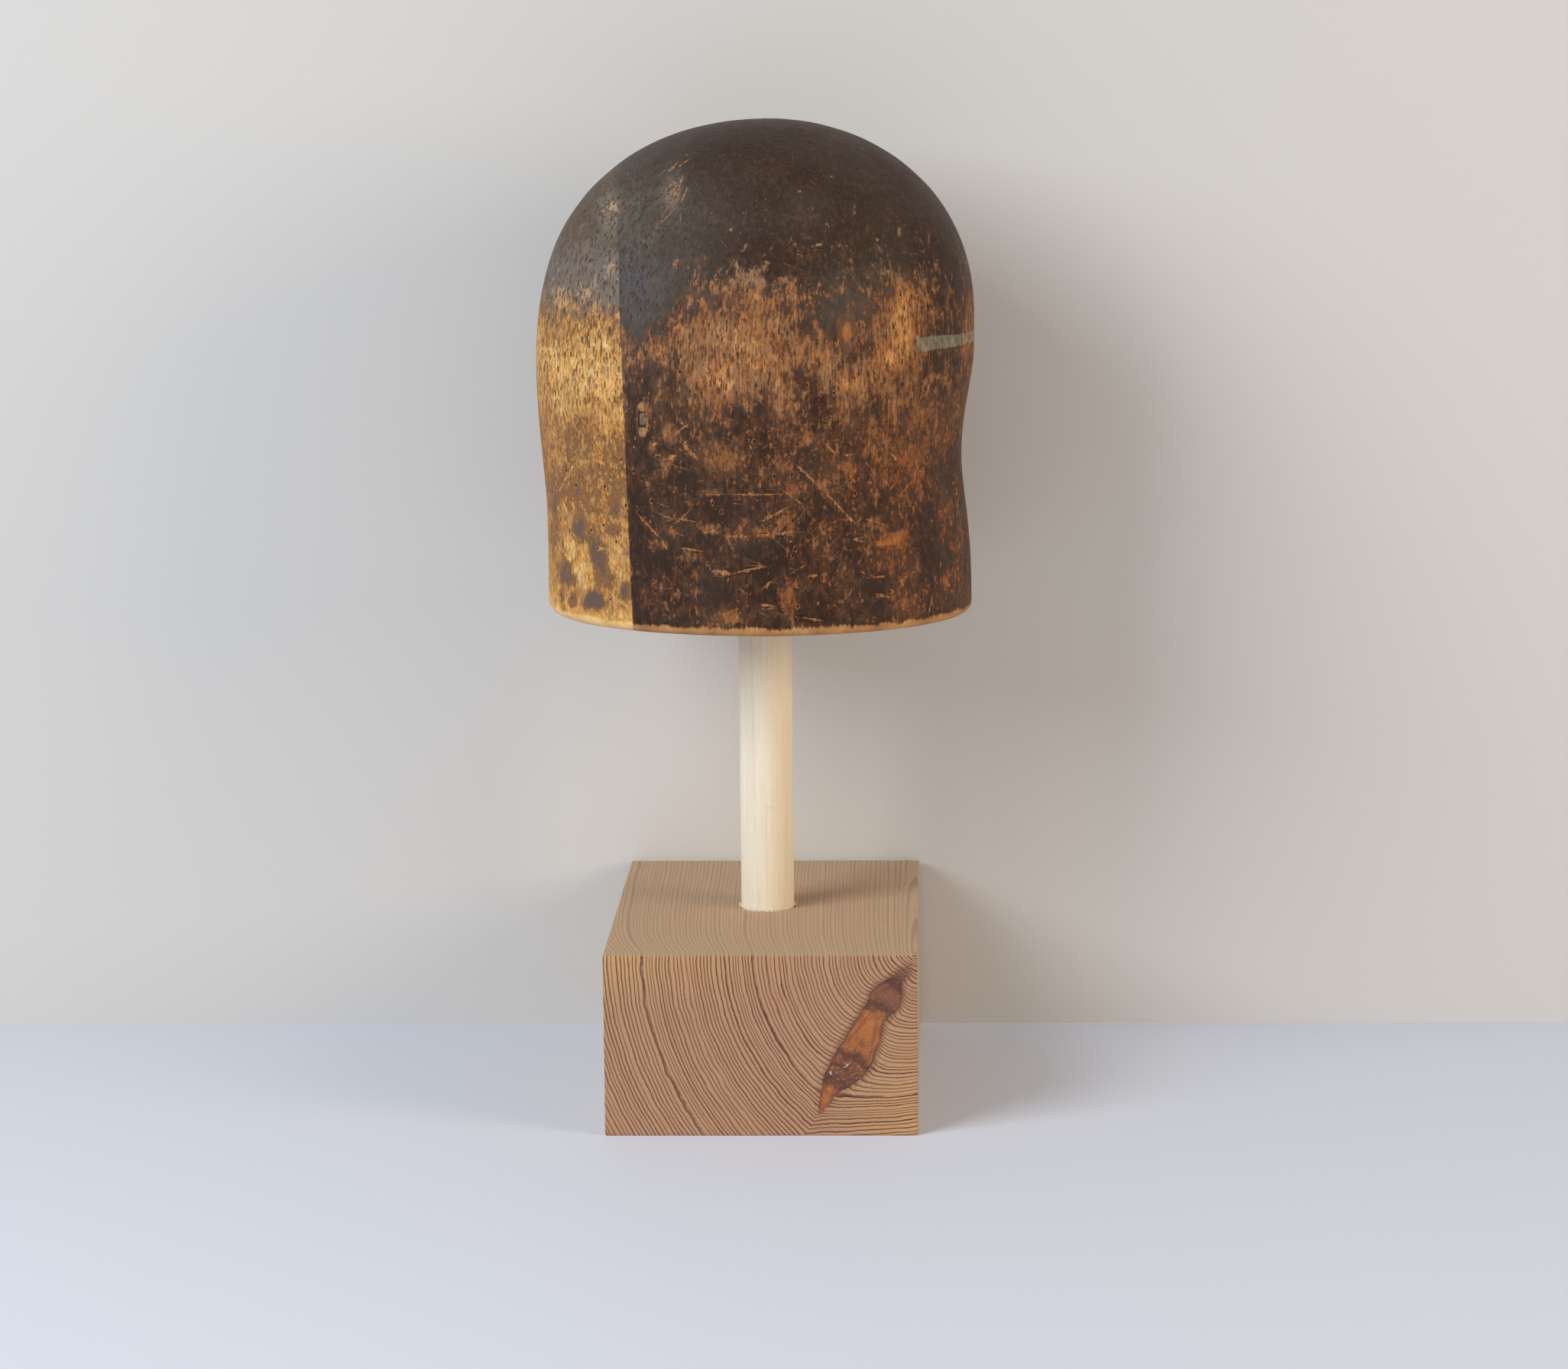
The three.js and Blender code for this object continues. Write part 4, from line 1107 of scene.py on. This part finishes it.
def base_finish(settings):
    """Sawn softwood. Growth rings run round a pith at the front's top right corner and along the block; they
    bend round a spike knot that runs down from there. The ends show dark latewood lines, the sides fine grain."""
    base, colours = settings.base, settings.colours
    half_depth = base.depth / MM / 2
    m = Paint(bpy.data.materials.new("sawn_softwood_finish"))
    place = m.place()
    x, y, z = m.parts(place)
    depth = y + half_depth
    ends = (abs(y) - half_depth).rises(-0.55, -0.35)

    # Rings round the pith, pulled open beyond the knot
    from_pith_x = x - PITH_X + depth * 0.012
    from_pith_z = z - PITH_Z - depth * 0.02
    radius = (from_pith_x ** 2.0 + from_pith_z ** 2.0) ** 0.5
    off_axis = from_pith_z.sum("ARCTAN2", from_pith_x) - KNOT_ANGLE
    right = off_axis.rises(-0.01, 0.01)
    near_face = 1.0 / (1.0 + (depth / 30.0) ** 2.0)
    swing = (1.0 - (abs(off_axis) / -0.4).sum("EXPONENT")) * 0.4
    pull = 1.0 + swing * (0.25 + right * 0.50) * near_face

    # How far a place lies outside the knot, and how the rings dip round it
    axis_x, axis_z = math.cos(KNOT_ANGLE), math.sin(KNOT_ANGLE)
    along = from_pith_x * axis_x + from_pith_z * axis_z
    beside = from_pith_x * -axis_z + from_pith_z * axis_x
    outline = [(at, (half, middle, 0.0)) for at, half, middle in KNOT_OUTLINE]
    half_width, middle, _ = m.parts(m.ramp(along / 100.0, outline))
    wander = m.noise(place * 0.22, detail=2.0) * 1.1
    into = (depth - 3.0) * 0.8
    spoke = ((beside - (middle - 0.5) * 15.0 + wander) ** 2.0 + into ** 2.0) ** 0.5 - half_width * 10.0
    dip = (spoke.most(0.0) / -4.2).sum("EXPONENT") * (3.0 + right * 3.4)
    fade = near_face * (along.rises(0.0, 14.0) * along.rises(106.0, 44.0))
    bent = radius * pull + dip * fade

    # Rings of uneven width and strength
    slow = m.noise(m.joined(bent * 0.055, 3.0, 7.0), detail=2.0) * 3.4 + m.noise(m.joined(bent * 0.21, 5.0, 1.0)) * 1.5
    wavy = m.noise(place * (0.09, 0.012, 0.09), detail=2.0) * 0.9 + m.noise(place * (0.7, 0.05, 0.7)) * 0.16
    count = (bent + slow + wavy) / (base.ring_width / MM)
    number = count.sum("FLOOR")
    phase = count - number
    lottery = m.node("ShaderNodeTexWhiteNoise", {"noise_dimensions": "1D"}, {"W": number})
    group = m.noise(m.joined(bent * 0.045, 11.0, 2.0), detail=1.0) * 1.3
    strength = (0.74 + lottery * 0.50 + group * 0.7).clip()
    late = phase.rises(0.50, 0.88) * phase.rises(1.0, 0.94)
    fine_line = m.noise(m.joined(bent * 2.6, z * 0.05, y * 0.01), detail=2.0)

    specks = m.noise(place * 2.4, detail=2.0, roughness=0.7)
    blush = m.noise(place * (0.05, 0.01, 0.05), detail=3.0)
    end_grain = m.laid(
        colours.earlywood, ((0.5 + blush * 1.3).clip(), srgb(174, 130, 100)),
        (((x - 30.0) / 45.0 * (60.0 - z) / 60.0).clip() * 0.8, srgb(200, 156, 102)),
        (late * strength, colours.latewood), ((specks * 1.2).clip() * 0.35, srgb(212, 180, 148)),
        ((specks * -1.5).clip() * 0.30, srgb(96, 60, 44)))
    hairs = m.noise(place * (2.6, 0.05, 2.6), detail=3.0, roughness=0.6)
    sawn = (late * (0.20 + strength * 0.30) + hairs * 0.38 + fine_line * 0.2).clip()
    long_grain = m.laid(colours.sawn_top, (sawn, srgb(140, 106, 80)), ((hairs * 1.1).clip() * 0.4, srgb(210, 188, 158)))
    tick_distance, tick_kind = m.cells(place * (0.16, 0.05, 0.11))
    tick = tick_distance.rises(0.07, 0.03) * tick_kind[1].rises(0.70, 0.75)

    # The knot
    knot_noise = m.noise(place * 0.28, detail=4.0, roughness=0.65)
    knot_fine = m.noise(m.joined(spoke * 0.9, along * 0.13, 0.0), detail=3.0)
    solid = along.rises(12.0, 19.0) * 0.5 + 0.5
    inside = spoke.rises(0.25, -0.35) * along.rises(4.0, 10.0) * (solid + (1.0 - solid) * knot_fine * 2.4).clip()
    bowed = along + knot_noise * 7.0 - (spoke + 6.0) * 0.35
    crack = abs(m.noise(m.joined(spoke * 0.30, along * 0.05, 3.0), detail=4.0, roughness=0.6)).rises(0.09, 0.01)
    rind = spoke.rises(-1.7, -0.3) * (0.85 + knot_noise).clip()
    resin = m.noise(place * 0.55, detail=3.0).rises(0.24, 0.36) * along.rises(60.0, 63.0) * along.rises(74.0, 70.0)
    tones = [(at, getattr(colours, tone) if isinstance(tone, str) else srgb(*tone)) for at, tone in KNOT_TONES]
    heart = m.laid(
        m.ramp(bowed / 100.0, tones),
        ((0.2 + knot_fine * 1.6).clip() * 0.55, colours.knot_dark),
        ((knot_noise * 1.6).clip() * (0.40 + along.rises(56.0, 62.0) * 0.35), srgb(186, 118, 72)),
        (crack * 0.42, srgb(74, 42, 30)), (rind * 0.85, colours.knot_dark), (resin * 0.7, srgb(206, 190, 170)))
    dark_round_it = spoke.rises(2.6, 0.1) * 0.5 * along.rises(5.0, 12.0) * fade
    colour = m.laid(long_grain, (ends, end_grain), (tick * 0.35, srgb(92, 62, 46)),
                    (dark_round_it, srgb(92, 56, 40)), (inside, heart))
    relief = late * strength * 0.5 * ends + specks * 0.25 + hairs * 0.45 * (1.0 - ends) - tick - inside * 0.2
    return m.surface(colour, (0.78 + specks * 0.12 - inside * 0.30).clip(), relief, 0.16, IOR=1.45)


class HATSTAND_OT_base(bpy.types.Operator):
    """Makes the sawn softwood block"""

    bl_idname = "hatstand.base"
    bl_label = "Base block"

    def execute(self, context):
        settings = context.scene.hat_stand
        show(context, base_skin(settings), base_finish(settings), "base_block", "base")
        return {"FINISHED"}


def plain_sheet(context, name, corners, material):
    """A flat rectangle of the stage from its four corners."""
    mesh = bpy.data.meshes.new(name)
    mesh.from_pydata(corners, [], [(0, 1, 2, 3)])
    mesh.materials.append(material)
    put(context, name, mesh)


class HATSTAND_OT_stage(bpy.types.Operator):
    """Makes the floor, the backdrop, the soft lights and the camera"""

    bl_idname = "hatstand.stage"
    bl_label = "Stage"

    def execute(self, context):
        settings, scene = context.scene.hat_stand, context.scene
        stage, colours = settings.stage, settings.colours
        self.floor_and_wall(context, stage, colours)
        self.lamp(context, "key_light", KEY_AT, 0.25, 1.3, stage.key_power, (0.94, 0.97, 1.0))
        self.lamp(context, "fill_light", FILL_AT, 0.22, 0.9, stage.fill_power, (1.0, 0.80, 0.58))
        self.sky(scene, stage, colours)
        camera_data = bpy.data.cameras.new("camera")
        camera_data.lens = stage.lens
        camera_data.sensor_width = 36.0
        camera_data.clip_end = 50.0
        scene.camera = put(context, "camera", camera_data)
        scene.camera.matrix_world = (Matrix.Translation(stage.camera) @ Matrix.Rotation(stage.camera_turn, 4, "Z")
                                     @ Matrix.Rotation(math.pi / 2 - stage.camera_down, 4, "X")
                                     @ Matrix.Rotation(stage.camera_roll, 4, "Z"))
        scene.view_settings.view_transform = "Standard"
        return {"FINISHED"}

    def floor_and_wall(self, context, stage, colours):
        m = Paint(bpy.data.materials.new("plain_floor"))
        x, y, _ = m.parts(m.place() * MM)
        under_key = ((x - KEY_AT[0]) ** 2.0 + (y - KEY_AT[1]) ** 2.0).rises(2.6, 0.0)
        under_fill = ((x - FILL_AT[0]) ** 2.0 + (y - FILL_AT[1]) ** 2.0).rises(1.6, 0.0)
        even = 1.0 - under_key * 0.66 - under_fill * 0.50
        floor = m.surface(m.mix(1.0, colours.floor, m.joined(even, even, even), "MULTIPLY"), 0.6)
        plain_sheet(context, "floor", [(-6, -6, 0), (6, -6, 0), (6, 6, 0), (-6, 6, 0)], floor)
        m = Paint(bpy.data.materials.new("plain_backdrop"))
        behind = m.node("ShaderNodeNewGeometry", {}, {}, "Backfacing")
        diffuse = m.node("ShaderNodeBsdfDiffuse", {}, {"Color": (*colours.backdrop, 1.0)})
        clear = m.node("ShaderNodeBsdfTransparent", {}, {})
        both = m.node("ShaderNodeMixShader", {}, {0: self.seen(m) * (1.0 - behind), 1: clear, 2: diffuse})
        m.node("ShaderNodeOutputMaterial", {}, {"Surface": both})
        at = stage.wall
        plain_sheet(context, "backdrop", [(-3, at, 0), (3, at, 0), (3, at, 3), (-3, at, 3)], m.owner)

    def lamp(self, context, name, place, aim_height, size, power, colour):
        """A soft square light that points at a height on the post's axis."""
        data = bpy.data.lights.new(name, "AREA")
        data.size, data.energy, data.color = size, power, colour
        lamp = put(context, name, data)
        lamp.location = place
        direction = Vector((0.0, 0.0, aim_height)) - Vector(place)
        lamp.rotation_euler = direction.to_track_quat("-Z", "Y").to_euler()

    def seen(self, m):
        """1 for rays that show the background: straight from the camera, mirrored, or through clear matter."""
        camera, mirrored, through = m.node("ShaderNodeLightPath", {}, {},
                                           ("Is Camera Ray", "Is Glossy Ray", "Is Transmission Ray"))
        return camera.most(mirrored).most(through)

    def sky(self, scene, stage, colours):
        scene.world = bpy.data.worlds.new("even_light")
        m = Paint(scene.world)
        even = m.node("ShaderNodeBackground", {}, {"Color": (0.97, 0.98, 1.0, 1.0), "Strength": stage.sky_strength})
        pale = m.node("ShaderNodeBackground", {}, {"Color": (*colours.backdrop, 1.0), "Strength": 1.0})
        both = m.node("ShaderNodeMixShader", {}, {0: self.seen(m), 1: even, 2: pale})
        m.node("ShaderNodeOutputWorld", {}, {"Surface": both})


class HATSTAND_PT_panel(bpy.types.Panel):
    """Lists the pieces of the hat stand"""

    bl_idname = "HATSTAND_PT_panel"
    bl_label = "Hat stand"
    bl_space_type = "VIEW_3D"
    bl_region_type = "UI"
    bl_category = "Hat stand"

    def draw(self, context):
        settings = context.scene.hat_stand
        for group in ("head", "post", "base", "nail", "colours", "stage"):
            box = self.layout.box()
            box.label(text=group.capitalize())
            values = getattr(settings, group)
            for key in values.__annotations__:
                box.prop(values, key)
            if group != "colours":
                box.operator("hatstand." + group)


CLASSES = (HatStandHead, HatStandPost, HatStandBase, HatStandNail, HatStandColours, HatStandStage,
           HatStandSettings, HATSTAND_OT_stage, HATSTAND_OT_base, HATSTAND_OT_post, HATSTAND_OT_head,
           HATSTAND_OT_nail, HATSTAND_PT_panel)


def register():
    for made in CLASSES:
        bpy.utils.register_class(made)
    bpy.types.Scene.hat_stand = PointerProperty(type=HatStandSettings)


def unregister():
    del bpy.types.Scene.hat_stand
    for made in reversed(CLASSES):
        bpy.utils.unregister_class(made)


def main():
    register()
    bpy.ops.hatstand.stage()
    bpy.ops.hatstand.base()
    bpy.ops.hatstand.post()
    bpy.ops.hatstand.head()
    bpy.ops.hatstand.nail()


if __name__ == "__main__":
    main()
